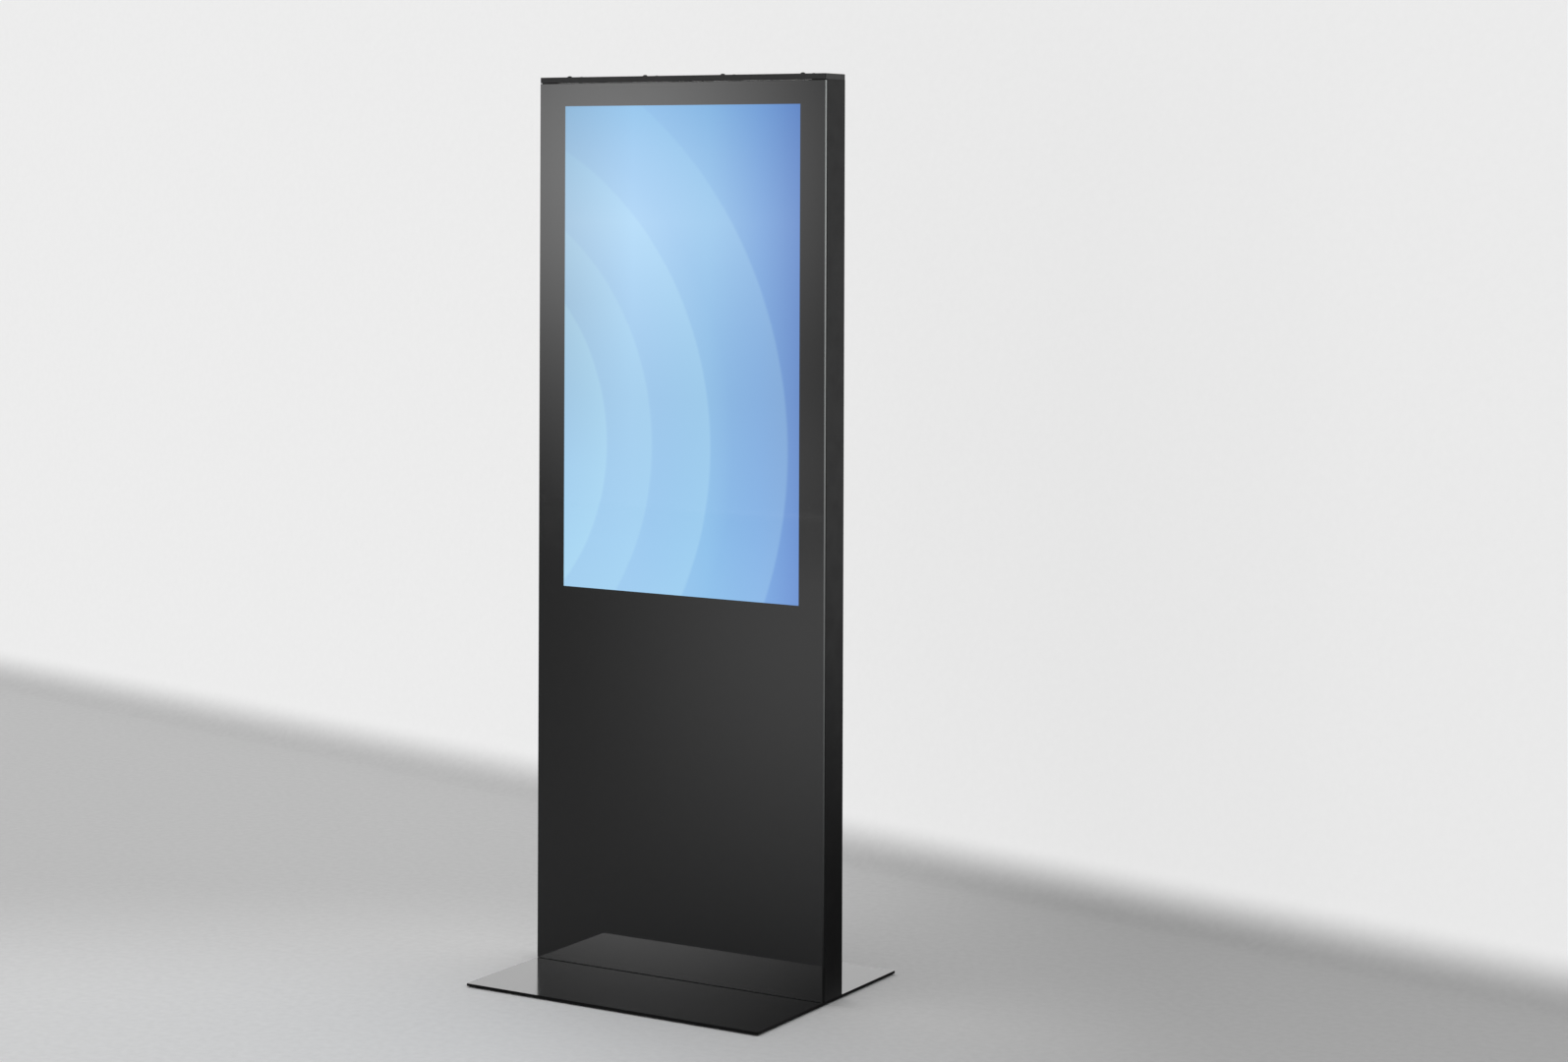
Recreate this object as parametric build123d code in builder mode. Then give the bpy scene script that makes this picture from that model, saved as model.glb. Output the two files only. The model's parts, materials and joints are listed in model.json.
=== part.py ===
"""Touchscreen kiosk: a 43 inch portrait display in a slim glass-fronted column on a steel base plate.

Millimetres, +Z up. X runs to the right seen from the front and +Y runs from the glass to the back.
The origin is on the floor, under the middle of the base plate.
"""

import math
import os

from build123d import *

os.makedirs("parts", exist_ok=True)

# ---------------------------------------------------------------- driving dimensions

active_width = 529.4  # lit picture of a 43 inch panel held upright
active_height = 941.2
border = 56.8  # black margin left, right and above the picture, with the cap counted in the top one

body_depth = 76
body_height = 1734  # from the base plate to the top of the cap
base_depth = 530
base_thick = 5
front_overhang = 240  # base plate in front of the glass
pad_thick = 2

cap_thick = 11
cap_gap = 1.2  # shadow gap between cap and glass
foot_gap = 0.3  # between the glass and the base plate
glass_thick = 5
print_thick = 0.2
tape_thick = 1.5
profile_width = 21.5
sheet = 1.5
seal_thick = 1.2
lip_front = 13  # profile flange that the glass is bonded to
lip_back = 14  # profile flange that the rear panels close on
lip_back_thick = 2.8

# ---------------------------------------------------------------- places worked out from them

body_width = active_width + 2 * border
half_width = body_width / 2
x_inner = half_width - profile_width  # inner wall of a side profile
y_front = front_overhang - base_depth / 2  # face of the glass
y_back = y_front + body_depth  # outer face of the rear panels
y_glass = y_front + glass_thick
y_print = y_glass + print_thick
y_frame = y_print + tape_thick  # front of the side profiles
y_skin = y_back - sheet  # inner face of the rear panels
y_lip = y_skin - seal_thick  # face of the rear flanges
y_lip_in = y_lip - lip_back_thick
z_base = pad_thick + base_thick  # top of the base plate
z_top = z_base + body_height
z_cap = z_top - cap_thick
z_picture_top = z_top - border
z_picture = z_picture_top - active_height / 2  # middle of the picture
z_picture_low = z_picture_top - active_height

clearance = 0.2  # between a fastener and its hole
edge_break = 0.6  # small chamfer on the cap's top edges; the base plate's is half of it

# ---------------------------------------------------------------- panel openings and screw patterns

z_skirt = (z_base + 1, z_base + 101)
z_door = (z_skirt[1] + 2, z_picture_low - 15)
z_panel = (z_door[1] + 2, z_cap - 1.2)
z_skirt_mid = (z_skirt[0] + z_skirt[1]) / 2
z_door_mid = (z_door[0] + z_door[1]) / 2
z_panel_mid = (z_panel[0] + z_panel[1]) / 2
z_rails = (z_door[0] - 1, z_door[1] + 1)  # middle of the rails behind the panel joints
z_crossbars = (z_picture - 317, z_picture + 323)

screw_panel = 4
panel_screw_x = x_inner - lip_back + 6
side_screw_z = [z_base + 18, z_base + 74] + [z_panel[0] + 24 + step * 186 for step in range(6)]
panel_side_screws = [(side * panel_screw_x, z) for side in (-1, 1) for z in side_screw_z]
panel_edge_screws = [(x, z) for x in (-150, 0, 150) for z in (z_panel[0] + 12, z_panel[1] - 20)]

plate_z = (z_base + 65, z_picture_low - 21)  # bottom and top of the equipment plate
plate_screw_z = [plate_z[0] + 25 + step * (plate_z[1] - plate_z[0] - 50) / 3 for step in range(4)]
plate_screw_places = [(side * (x_inner - 6), z) for side in (-1, 1) for z in plate_screw_z]

screw_hinge = 4
hinge_x = x_inner - 1
hinge_height = 60
hinge_screw_z = (12, 48)
hinge_screw_reach = 15  # from the pin to the screws
hinge_low = [z - hinge_height / 2 for z in (z_door[0] + 70, z_door_mid, z_door[1] - 70)]
hinge_screw_places = [(hinge_x + hinge_screw_reach, low + z) for low in hinge_low for z in hinge_screw_z]

FACING = {
    "up": (0, 0, 0),
    "down": (180, 0, 0),
    "back": (-90, 0, 0),
    "front": (90, 0, 0),
    "left": (0, -90, 0),
    "right": (0, 90, 0),
}


def at(x, y, z, facing="up"):
    """The place of a part whose own +Z should face the named way."""
    return Location((x, y, z), FACING[facing])


def wall(y):
    """An upright plane at depth y, with X to the right and Z up. A positive extrusion comes forward."""
    return Plane.XZ.offset(-y)


def block(x, y, z, mode=Mode.ADD):
    """A box between two corners, given as a (low, high) pair for each axis."""
    with Locations(((x[0] + x[1]) / 2, (y[0] + y[1]) / 2, (z[0] + z[1]) / 2)):
        Box(x[1] - x[0], y[1] - y[0], z[1] - z[0], mode=mode)


# ---------------------------------------------------------------- fasteners, head up, seat at the origin


def button_screw(size, length):
    """Round-headed socket screw."""
    head_radius = 0.95 * size
    head_height = 0.55 * size
    with BuildPart() as screw:
        with BuildSketch(Plane.XZ):
            with BuildLine():
                Line((0, head_height), (0, -length))
                Line((0, -length), (size / 2 - 0.3, -length))
                Line((size / 2 - 0.3, -length), (size / 2, -length + 0.3))
                Line((size / 2, -length + 0.3), (size / 2, 0))
                Line((size / 2, 0), (head_radius, 0))
                Line((head_radius, 0), (head_radius, 0.15 * head_height))
                ThreePointArc(
                    (head_radius, 0.15 * head_height),
                    (0.68 * head_radius, 0.78 * head_height),
                    (0.3 * head_radius, head_height),
                )
                Line((0.3 * head_radius, head_height), (0, head_height))
            make_face()
        revolve(axis=Axis.Z)
        with BuildSketch(Plane.XY.offset(head_height)):
            RegularPolygon(radius=0.34 * size, side_count=6)
        extrude(amount=-0.4 * size, mode=Mode.SUBTRACT)
    return screw.part


def countersunk_screw(size, length):
    """Flat-headed socket screw. Its seat is the top of the head."""
    head_radius = 0.95 * size
    head_depth = head_radius - size / 2
    with BuildPart() as screw:
        with BuildSketch(Plane.XZ):
            with BuildLine():
                Polyline(
                    (0, 0),
                    (head_radius, 0),
                    (size / 2, -head_depth),
                    (size / 2, -length + 0.3),
                    (size / 2 - 0.3, -length),
                    (0, -length),
                    close=True,
                )
            make_face()
        revolve(axis=Axis.Z)
        with BuildSketch(Plane.XY):
            RegularPolygon(radius=0.36 * size, side_count=6)
        extrude(amount=-0.35 * size, mode=Mode.SUBTRACT)
    return screw.part


def flange_bolt(size, length):
    """Hexagon bolt with a round flange under the head."""
    with BuildPart() as bolt:
        Cylinder(1.05 * size, 0.25 * size, align=(Align.CENTER, Align.CENTER, Align.MIN))
        with BuildSketch(Plane.XY.offset(0.25 * size)):
            RegularPolygon(radius=0.83 * size, side_count=6, major_radius=False)
        extrude(amount=0.6 * size)
        chamfer(bolt.faces().sort_by(Axis.Z)[-1].edges(), 0.08 * size)
        Cylinder(size / 2, length, align=(Align.CENTER, Align.CENTER, Align.MAX))
    return bolt.part


def flange_nut(size):
    """Hexagon nut with a round flange at its seat."""
    with BuildPart() as nut:
        Cylinder(1.05 * size, 0.2 * size, align=(Align.CENTER, Align.CENTER, Align.MIN))
        with BuildSketch(Plane.XY.offset(0.2 * size)):
            RegularPolygon(radius=0.83 * size, side_count=6, major_radius=False)
        extrude(amount=0.65 * size)
        chamfer(nut.faces().sort_by(Axis.Z)[-1].edges(), 0.06 * size)
        Hole(size / 2 + clearance / 2)
    return nut.part


# ---------------------------------------------------------------- base

bolt_base = 10
base_bolt_places = [(x, y) for x in (-230, 0, 230) for y in (1, 29)]
foot_web = 4
pad_radius = 20
pad_places = [(x, y) for x in (-285, 0, 285) for y in (-230, 230)]

with BuildPart() as base_plate:
    with BuildSketch(Plane.XY.offset(pad_thick)):
        RectangleRounded(body_width, base_depth, 2)
    extrude(amount=base_thick)
    chamfer(base_plate.faces().sort_by(Axis.Z)[-1].edges(), edge_break / 2)
    with Locations(*[at(x, y, pad_thick, "down") for x, y in base_bolt_places]):
        CounterSinkHole(
            bolt_base / 2 + clearance,
            0.95 * bolt_base + 0.3 + clearance / 2,
            depth=base_thick,
            counter_sink_angle=90,
        )

with BuildPart() as floor_pads:
    with Locations(*[(x, y, pad_thick / 2) for x, y in pad_places]):
        Cylinder(pad_radius, pad_thick)
    chamfer(floor_pads.edges().group_by(Axis.Z)[0], 0.4)

base_bolt = countersunk_screw(bolt_base, 20)
with BuildPart() as base_bolts:
    with Locations(*[at(x, y, pad_thick + 0.3, "down") for x, y in base_bolt_places]):
        add(base_bolt)

base_nut = flange_nut(bolt_base)
with BuildPart() as base_nuts:
    with Locations(*[(x, y, z_base + foot_web) for x, y in base_bolt_places]):
        add(base_nut)

# ---------------------------------------------------------------- frame members

member_front = -14  # front of the foot and top rail, clear of the glass
member_back = y_lip_in - 0.2  # members pass behind the rear flanges up to here
rail_half_length = x_inner - lip_back - 0.5  # length between the two rear flanges
bolt_frame = 6
end_plate = 3

foot_height = 35
foot_plate_height = 60
z_foot_bolts = z_base + 48

with BuildPart() as foot_channel:
    block((-x_inner, x_inner), (member_front, 44), (z_base, z_base + foot_web))
    for y in (member_front, 41):
        block((-x_inner, x_inner), (y, y + 3), (z_base, z_base + foot_height))
    for x in (-x_inner, x_inner - foot_web):
        block((x, x + foot_web), (member_front, 44), (z_base, z_base + foot_plate_height))
    with Locations(*[(x, y, z_base) for x, y in base_bolt_places]):
        Cylinder(bolt_base / 2 + clearance, 4 * foot_web, mode=Mode.SUBTRACT)
    with Locations(*[at(0, y, z_foot_bolts, "right") for y in (0, 30)]):
        Cylinder(bolt_frame / 2 + clearance, body_width, mode=Mode.SUBTRACT)

rear_rail_height = 40
rear_rail_back = y_lip

with BuildPart() as rear_rails:
    for z in z_rails:
        low, high = z - rear_rail_height / 2, z + rear_rail_height / 2
        block((-rail_half_length, rail_half_length), (rear_rail_back - 3, rear_rail_back), (low, high))
        for edge in (low, high - 2.5):
            block((-x_inner, x_inner), (28, member_back), (edge, edge + 2.5))
        for x in (-x_inner, x_inner - end_plate):
            block((x, x + end_plate), (28, member_back), (low, high))
        with Locations(at(0, 36, z, "right")):
            Cylinder(bolt_frame / 2 + clearance, body_width, mode=Mode.SUBTRACT)
    with Locations(*[at(x, y_lip, z, "back") for x, z in panel_edge_screws]):
        Cylinder(screw_panel / 2 + clearance / 2, 10, mode=Mode.SUBTRACT)

crossbar_front = 27.9
crossbar_height = 40
rail_bolt_x = 230  # where the display rails are bolted to the crossbars

with BuildPart() as crossbars:
    for z in z_crossbars:
        low, high = z - crossbar_height / 2, z + crossbar_height / 2
        block((-x_inner, x_inner), (crossbar_front, crossbar_front + 2), (low, high))
        for edge in (low, high - 2):
            block((-x_inner, x_inner), (crossbar_front, member_back), (edge, edge + 2))
        for x in (-x_inner, x_inner - end_plate):
            block((x, x + end_plate), (crossbar_front, member_back), (low, high))
        with Locations(at(0, 36.5, z, "right")):
            Cylinder(bolt_frame / 2 + clearance, body_width, mode=Mode.SUBTRACT)
        with Locations(*[at(x, crossbar_front, z, "back") for x in (-rail_bolt_x, rail_bolt_x)]):
            Cylinder(bolt_frame / 2 + clearance, 10, mode=Mode.SUBTRACT)

screw_cap = 5
cap_screw_x = (-263, -87.7, 87.7, 263)
cap_screw_rows = (y_front + 17, y_back - 17)
cap_screw_places = [(x, y) for x in cap_screw_x for y in cap_screw_rows]
top_web = 2.5
z_top_bolts = z_cap - 18

with BuildPart() as top_rail:
    block((-x_inner, x_inner), (member_front, member_back), (z_cap - top_web, z_cap))
    block((-rail_half_length, rail_half_length), (member_back - 0.5, y_lip), (z_cap - top_web, z_cap))
    block((-rail_half_length, rail_half_length), (y_lip - 3, y_lip), (z_cap - 40, z_cap))
    block((-x_inner, x_inner), (member_front, member_front + 2.5), (z_cap - 20, z_cap))
    for x in (-x_inner, x_inner - end_plate):
        block((x, x + end_plate), (member_front, member_back), (z_cap - 30, z_cap))
    with Locations(*[(x, y, z_cap) for x, y in cap_screw_places]):
        Cylinder(screw_cap / 2 + clearance, 4 * top_web, mode=Mode.SUBTRACT)
    with Locations(*[at(0, y, z_top_bolts, "right") for y in (5, 32)]):
        Cylinder(bolt_frame / 2 + clearance, body_width, mode=Mode.SUBTRACT)
    with Locations(*[at(x, y_lip, z, "back") for x, z in panel_edge_screws]):
        Cylinder(screw_panel / 2 + clearance / 2, 10, mode=Mode.SUBTRACT)

# Bolts through the inner walls of the side profiles, as (depth, height).
frame_bolt_rows = (
    [(y, z_foot_bolts) for y in (0, 30)]
    + [(36, z) for z in z_rails]
    + [(36.5, z) for z in z_crossbars]
    + [(y, z_top_bolts) for y in (5, 32)]
)

# ---------------------------------------------------------------- side profiles

profile_wall = 2
port_radius = 4.5
port_hole = 2.1

with BuildPart() as side_profile_right:
    with BuildSketch(Plane.XY.offset(z_base)):
        with BuildLine():
            Polyline(
                (x_inner - lip_front, y_frame),
                (half_width, y_frame),
                (half_width, y_back),
                (x_inner, y_back),
                (x_inner, y_lip),
                (x_inner - lip_back, y_lip),
                (x_inner - lip_back, y_lip_in),
                (x_inner, y_lip_in),
                (x_inner, y_frame + 2.5),
                (x_inner - lip_front, y_frame + 2.5),
                close=True,
            )
        section = make_face()
        fillet(section.vertices().group_by(Axis.X)[-1], 1.2)
        with Locations(((x_inner + half_width) / 2, (y_frame + y_back) / 2)):
            Rectangle(profile_width - 2 * profile_wall, y_back - y_frame - 5, mode=Mode.SUBTRACT)
        ports = [
            ((x_inner + half_width) / 2, y_frame + 2.5 + port_radius - 1),
            ((x_inner + half_width) / 2, y_back - 2.5 - port_radius + 1),
        ]
        with Locations(*ports):
            Circle(port_radius)
            Circle(port_hole, mode=Mode.SUBTRACT)
    extrude(amount=z_cap - z_base)
    with Locations(*[at(x_inner, y, z, "right") for y, z in frame_bolt_rows]):
        Cylinder(bolt_frame / 2 + clearance / 2, 3 * profile_wall, mode=Mode.SUBTRACT)
    with Locations(*[at(panel_screw_x, y_lip, z, "back") for z in side_screw_z]):
        Cylinder(screw_panel / 2 + clearance / 2, 3 * lip_back_thick, mode=Mode.SUBTRACT)
    with Locations(*[at(x, y_frame, z, "back") for x, z in plate_screw_places if x > 0]):
        Cylinder(screw_panel / 2 + clearance / 2, 10, mode=Mode.SUBTRACT)

with BuildPart() as side_profile_left:
    mirror(side_profile_right.part, about=Plane.YZ)

with side_profile_right:
    with Locations(*[at(x, y_back, z, "back") for x, z in hinge_screw_places]):
        Cylinder(screw_hinge / 2 + clearance / 2, 20, mode=Mode.SUBTRACT)

wall_bolt = flange_bolt(bolt_frame, 12)
with BuildPart() as frame_bolts:
    for y, z in frame_bolt_rows:
        seat = x_inner - (foot_web if z == z_foot_bolts else end_plate)
        with Locations(at(seat, y, z, "left"), at(-seat, y, z, "right")):
            add(wall_bolt)
    for z in z_crossbars:
        with Locations(*[at(x, crossbar_front + 2, z, "back") for x in (-rail_bolt_x, rail_bolt_x)]):
            add(wall_bolt)

# ---------------------------------------------------------------- cap

with BuildPart() as top_cap:
    with BuildSketch(Plane.XY.offset(z_cap)):
        with Locations((0, (y_front + y_back) / 2)):
            RectangleRounded(body_width, body_depth, 2)
    extrude(amount=cap_thick)
    chamfer(top_cap.faces().sort_by(Axis.Z)[-1].edges(), edge_break)
    chamfer(top_cap.faces().sort_by(Axis.Z)[0].edges(), 0.3)
    with Locations(*[(x, y, z_top) for x, y in cap_screw_places]):
        Hole(screw_cap / 2 + clearance, depth=2 * cap_thick)

cap_screw = button_screw(screw_cap, cap_thick + 6)
with BuildPart() as top_cap_screws:
    with Locations(*[(x, y, z_top) for x, y in cap_screw_places]):
        add(cap_screw)

# ---------------------------------------------------------------- glass front

z_glass_low = z_base + foot_gap
z_glass_top = z_cap - cap_gap
z_glass = (z_glass_low + z_glass_top) / 2
glass_height = z_glass_top - z_glass_low

with BuildPart() as front_glass:
    with BuildSketch(wall(y_glass)):
        with Locations((0, z_glass)):
            RectangleRounded(body_width, glass_height, 1)
    extrude(amount=glass_thick)
    chamfer(front_glass.faces().sort_by(Axis.Y)[0].edges(), 0.8)
    chamfer(front_glass.faces().sort_by(Axis.Y)[-1].edges(), 0.5)

with BuildPart() as glass_border_print:
    with BuildSketch(wall(y_print)):
        with Locations((0, z_glass)):
            Rectangle(body_width - 2, glass_height - 2)
        with Locations((0, z_picture)):
            Rectangle(active_width + 1.2, active_height + 1.2, mode=Mode.SUBTRACT)
    extrude(amount=print_thick)

with BuildPart() as glass_bond_tape:
    for side in (-1, 1):
        with BuildSketch(wall(y_frame)):
            with Locations((side * (x_inner + 4), z_glass)):
                Rectangle(30, glass_height - 20)
        extrude(amount=tape_thick)

sensor_thick = 1.2
y_sensor = y_print + sensor_thick
sensor_margin = 12
gasket_thick = 2

with BuildPart() as touch_sensor:
    with BuildSketch(wall(y_sensor)):
        with Locations((0, z_picture)):
            RectangleRounded(active_width + 2 * sensor_margin, active_height + 2 * sensor_margin, 2)
    extrude(amount=sensor_thick)

with BuildPart() as display_gasket:
    with BuildSketch(wall(y_sensor + gasket_thick)):
        with Locations((0, z_picture)):
            Rectangle(active_width + 20, active_height + 20)
            Rectangle(active_width + 5, active_height + 5, mode=Mode.SUBTRACT)
    extrude(amount=gasket_thick)

# ---------------------------------------------------------------- display

y_bezel = y_sensor + gasket_thick  # front of the display module
module_margin = 11
module_width = active_width + 2 * module_margin
module_height = active_height + 2 * module_margin
bezel_depth = 12
bezel_wall = 1
y_lcd = y_bezel + bezel_wall
lcd_thick = 1.8
backlight_thick = 8
y_chassis = y_lcd + lcd_thick + backlight_thick
chassis_thick = 1.2
cover_depth = 18
y_cover = y_chassis + chassis_thick + cover_depth  # back of the display, where the rails bolt on
vesa = 400
screw_vesa = 8
boss_radius = 8
vesa_places = [(x, z_picture + z) for x in (-vesa / 2, vesa / 2) for z in (-vesa / 2, vesa / 2)]

with BuildPart() as display_bezel:
    with BuildSketch(wall(y_bezel + bezel_depth)):
        with Locations((0, z_picture)):
            RectangleRounded(module_width, module_height, 1.5)
    extrude(amount=bezel_depth)
    with BuildSketch(wall(y_bezel + bezel_depth)):
        with Locations((0, z_picture)):
            Rectangle(module_width - 2 * bezel_wall, module_height - 2 * bezel_wall)
    extrude(amount=bezel_depth - bezel_wall, mode=Mode.SUBTRACT)
    with BuildSketch(wall(y_bezel + bezel_depth)):
        with Locations((0, z_picture)):
            Rectangle(active_width + 0.8, active_height + 0.8)
    extrude(amount=bezel_depth, mode=Mode.SUBTRACT)

with BuildPart() as lcd_panel:
    with BuildSketch(wall(y_lcd + lcd_thick)):
        with Locations((0, z_picture)):
            Rectangle(module_width - 4, module_height - 4)
    extrude(amount=lcd_thick)

with BuildPart() as backlight_unit:
    with BuildSketch(wall(y_lcd + lcd_thick + backlight_thick)):
        with Locations((0, z_picture)):
            Rectangle(module_width - 5, module_height - 5)
    extrude(amount=backlight_thick)

with BuildPart() as display_chassis:
    with BuildSketch(wall(y_chassis + chassis_thick)):
        with Locations((0, z_picture)):
            Rectangle(module_width - 2.6, module_height - 2.6)
    extrude(amount=chassis_thick)
    with BuildSketch(wall(y_cover)):
        with Locations(*vesa_places):
            Circle(boss_radius)
    extrude(amount=cover_depth)
    with Locations(*[at(x, y_cover, z, "back") for x, z in vesa_places]):
        Hole(screw_vesa / 2 + clearance / 2, depth=cover_depth - 2)

cover_width = 524
cover_height = 938
cover_wall = 1.2
z_cover_low = z_picture - cover_height / 2
key_x = -238
key_z = z_cover_low + 22
key_radius = 4
port_panel_x = (20, 150)  # picture and data sockets in the cover's lower edge
inlet_x = (-192, -158)  # mains socket in the same edge

with BuildPart() as display_rear_cover:
    with BuildSketch(wall(y_cover)):
        with Locations((0, z_picture)):
            RectangleRounded(cover_width, cover_height, 8)
    extrude(amount=cover_depth)
    chamfer(display_rear_cover.faces().sort_by(Axis.Y)[-1].edges(), 1)
    with BuildSketch(wall(y_cover - cover_wall)):
        with Locations((0, z_picture)):
            RectangleRounded(cover_width - 2 * cover_wall, cover_height - 2 * cover_wall, 7)
    extrude(amount=cover_depth, mode=Mode.SUBTRACT)
    with BuildSketch(wall(y_cover)):
        with Locations(*vesa_places):
            Circle(boss_radius + 0.3)
        with Locations((key_x, key_z)):
            Circle(key_radius + 0.3)
        with Locations((0, z_picture + 400), (0, z_picture - 330)):
            with GridLocations(16, 44, 26, 2):
                SlotOverall(34, 4, rotation=90)
    extrude(amount=2 * cover_wall, mode=Mode.SUBTRACT)
    for x in (port_panel_x, inlet_x):
        block(
            x,
            (y_chassis + chassis_thick + 2, y_cover - cover_wall - 1),
            (z_cover_low - 1, z_cover_low + 3),
            mode=Mode.SUBTRACT,
        )

board_y = y_chassis + chassis_thick + 1.5
board_thick = 1.6
board_top = board_y + board_thick
sockets_y = (board_top, y_cover - cover_wall - 1.2)
z_sockets = (z_cover_low - 0.6, z_cover_low + 16)

with BuildPart() as display_boards:
    # Power board with its transformers and capacitors, and the mains socket at its lower edge.
    block((-210, -30), (board_y, board_top), (z_cover_low + 4, z_cover_low + 150))
    block((-190, -160), sockets_y, z_sockets)
    for x, z in ((-170, 60), (-105, 60)):
        block((x - 18, x + 18), (board_top, y_cover - 3), (z_cover_low + z - 15, z_cover_low + z + 15))
    with Locations(*[at(x, board_top + 5, z_cover_low + 110, "back") for x in (-180, -150, -120, -90)]):
        Cylinder(8, 10)
    # Main board with its processor, heat sink and the row of sockets at its lower edge.
    block((0, 180), (board_y, board_top), (z_cover_low + 4, z_cover_low + 120))
    for x in (22, 46, 70, 94, 118):
        block((x, x + 16), sockets_y, z_sockets)
    block((70, 110), (board_top, board_top + 2), (z_cover_low + 55, z_cover_low + 95))
    for x in range(70, 110, 5):
        block((x, x + 1.5), (board_top + 2, board_top + 9), (z_cover_low + 55, z_cover_low + 95))

with BuildPart() as display_key:
    with Locations(at(key_x, y_cover - cover_wall - 0.1, key_z, "back")):
        Cylinder(key_radius, 4.1, align=(Align.CENTER, Align.CENTER, Align.MIN))
        Cylinder(key_radius + 1.5, 1.2, align=(Align.CENTER, Align.CENTER, Align.MAX))
    fillet(display_key.edges().group_by(Axis.Y)[-1], 0.8)

rail_foot = 35
rail_thick = 2.5
rail_low = z_crossbars[0] - 30
rail_high = z_crossbars[1] + 30

with BuildPart() as display_mount_rails:
    with BuildSketch(Plane.XY.offset(rail_low)):
        with BuildLine():
            Polyline(
                (180, y_cover),
                (180 + rail_foot, y_cover),
                (180 + rail_foot, crossbar_front - rail_thick),
                (245, crossbar_front - rail_thick),
                (245, crossbar_front),
                (180 + rail_foot - rail_thick, crossbar_front),
                (180 + rail_foot - rail_thick, y_cover + rail_thick),
                (180, y_cover + rail_thick),
                close=True,
            )
        make_face()
    extrude(amount=rail_high - rail_low)
    with Locations(*[at(x, y_cover, z, "back") for x, z in vesa_places]):
        Cylinder(screw_vesa / 2 + clearance, 12, mode=Mode.SUBTRACT)
    with Locations(*[at(rail_bolt_x, crossbar_front, z, "back") for z in z_crossbars]):
        Cylinder(bolt_frame / 2 + clearance / 2, 12, mode=Mode.SUBTRACT)
    mirror(about=Plane.YZ)

mount_screw = button_screw(screw_vesa, 16)
with BuildPart() as display_mount_screws:
    with Locations(*[at(x, y_cover + rail_thick, z, "back") for x, z in vesa_places]):
        add(mount_screw)

# ---------------------------------------------------------------- rear panels

panel_width = 2 * x_inner - 4
fan_size = 80
fan_depth = 25
fan_hole = 71.5  # between screw holes
fan_places = [(x, z_top - 120) for x in (-120, 120)]
fan_screw_places = [
    (x + dx * fan_hole / 2, z + dz * fan_hole / 2)
    for x, z in fan_places
    for dx in (-1, 1)
    for dz in (-1, 1)
]

def fan_grille():
    """Rings of curved slots, as wide as a fan's opening, with four straight webs between them."""
    slot = 3
    web = 4
    with BuildSketch() as grille:
        for radius in (8, 14, 20, 26, 32, 37):
            gap = math.degrees((slot + web) / radius)
            for turn in range(4):
                with BuildLine(mode=Mode.PRIVATE) as arc:
                    CenterArc((0, 0), radius, turn * 90 + gap / 2, 90 - gap)
                SlotArc(arc=arc.edge(), height=slot)
    return grille.sketch


grille_face = fan_grille()
with BuildPart() as rear_panel:
    with BuildSketch(wall(y_back)):
        with Locations((0, z_panel_mid)):
            RectangleRounded(panel_width, z_panel[1] - z_panel[0], 1.5)
        with Locations(*(fan_screw_places + panel_edge_screws)):
            Circle(screw_panel / 2 + clearance, mode=Mode.SUBTRACT)
        with Locations(*[(x, z) for x, z in panel_side_screws if z > z_panel[0]]):
            Circle(screw_panel / 2 + clearance, mode=Mode.SUBTRACT)
        with Locations(*fan_places):
            add(grille_face, mode=Mode.SUBTRACT)
        with Locations((0, z_panel[0] + 130), (0, z_picture)):
            with GridLocations(12, 50, 30, 2):
                SlotOverall(40, 4, rotation=90, mode=Mode.SUBTRACT)
    extrude(amount=sheet)

inlet_centre = (-200, z_base + 52)
inlet_cut = (62, 28)
grommet_centre = (200, z_base + 52)
grommet_radius = 11

with BuildPart() as rear_skirt:
    with BuildSketch(wall(y_back)):
        with Locations((0, z_skirt_mid)):
            RectangleRounded(panel_width, z_skirt[1] - z_skirt[0], 1.5)
        with Locations(*[(x, z) for x, z in panel_side_screws if z < z_skirt[1]]):
            Circle(screw_panel / 2 + clearance, mode=Mode.SUBTRACT)
        with Locations(inlet_centre):
            Rectangle(*inlet_cut, mode=Mode.SUBTRACT)
        with Locations(grommet_centre):
            Circle(grommet_radius, mode=Mode.SUBTRACT)
    extrude(amount=sheet)

seal_width = 10
seal_height = z_panel[1] - z_panel[0] - 22
with BuildPart() as rear_panel_seal:
    with BuildSketch(wall(y_skin)):
        with Locations((0, (z_panel[0] + 7 + z_panel[1] - 15) / 2)):
            Rectangle(2 * (panel_screw_x + 5), seal_height)
            Rectangle(2 * (panel_screw_x - 5), seal_height - 2 * seal_width, mode=Mode.SUBTRACT)
        with Locations(*[(side * panel_screw_x, z_skirt_mid) for side in (-1, 1)]):
            Rectangle(seal_width, 84)
        with Locations(*(panel_side_screws + panel_edge_screws)):
            Circle(screw_panel / 2 + clearance, mode=Mode.SUBTRACT)
    extrude(amount=seal_thick)

y_plate = y_frame + 2.5 + sheet  # where the equipment is fixed
rear_screw_places = panel_side_screws + panel_edge_screws + fan_screw_places
panel_screw = button_screw(screw_panel, 7)
plate_screw = button_screw(screw_panel, 3.9)
with BuildPart() as panel_screws:
    with Locations(*[at(x, y_back, z, "back") for x, z in rear_screw_places]):
        add(panel_screw)
    with Locations(*[at(x, y_plate, z, "back") for x, z in plate_screw_places]):
        add(plate_screw)

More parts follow.
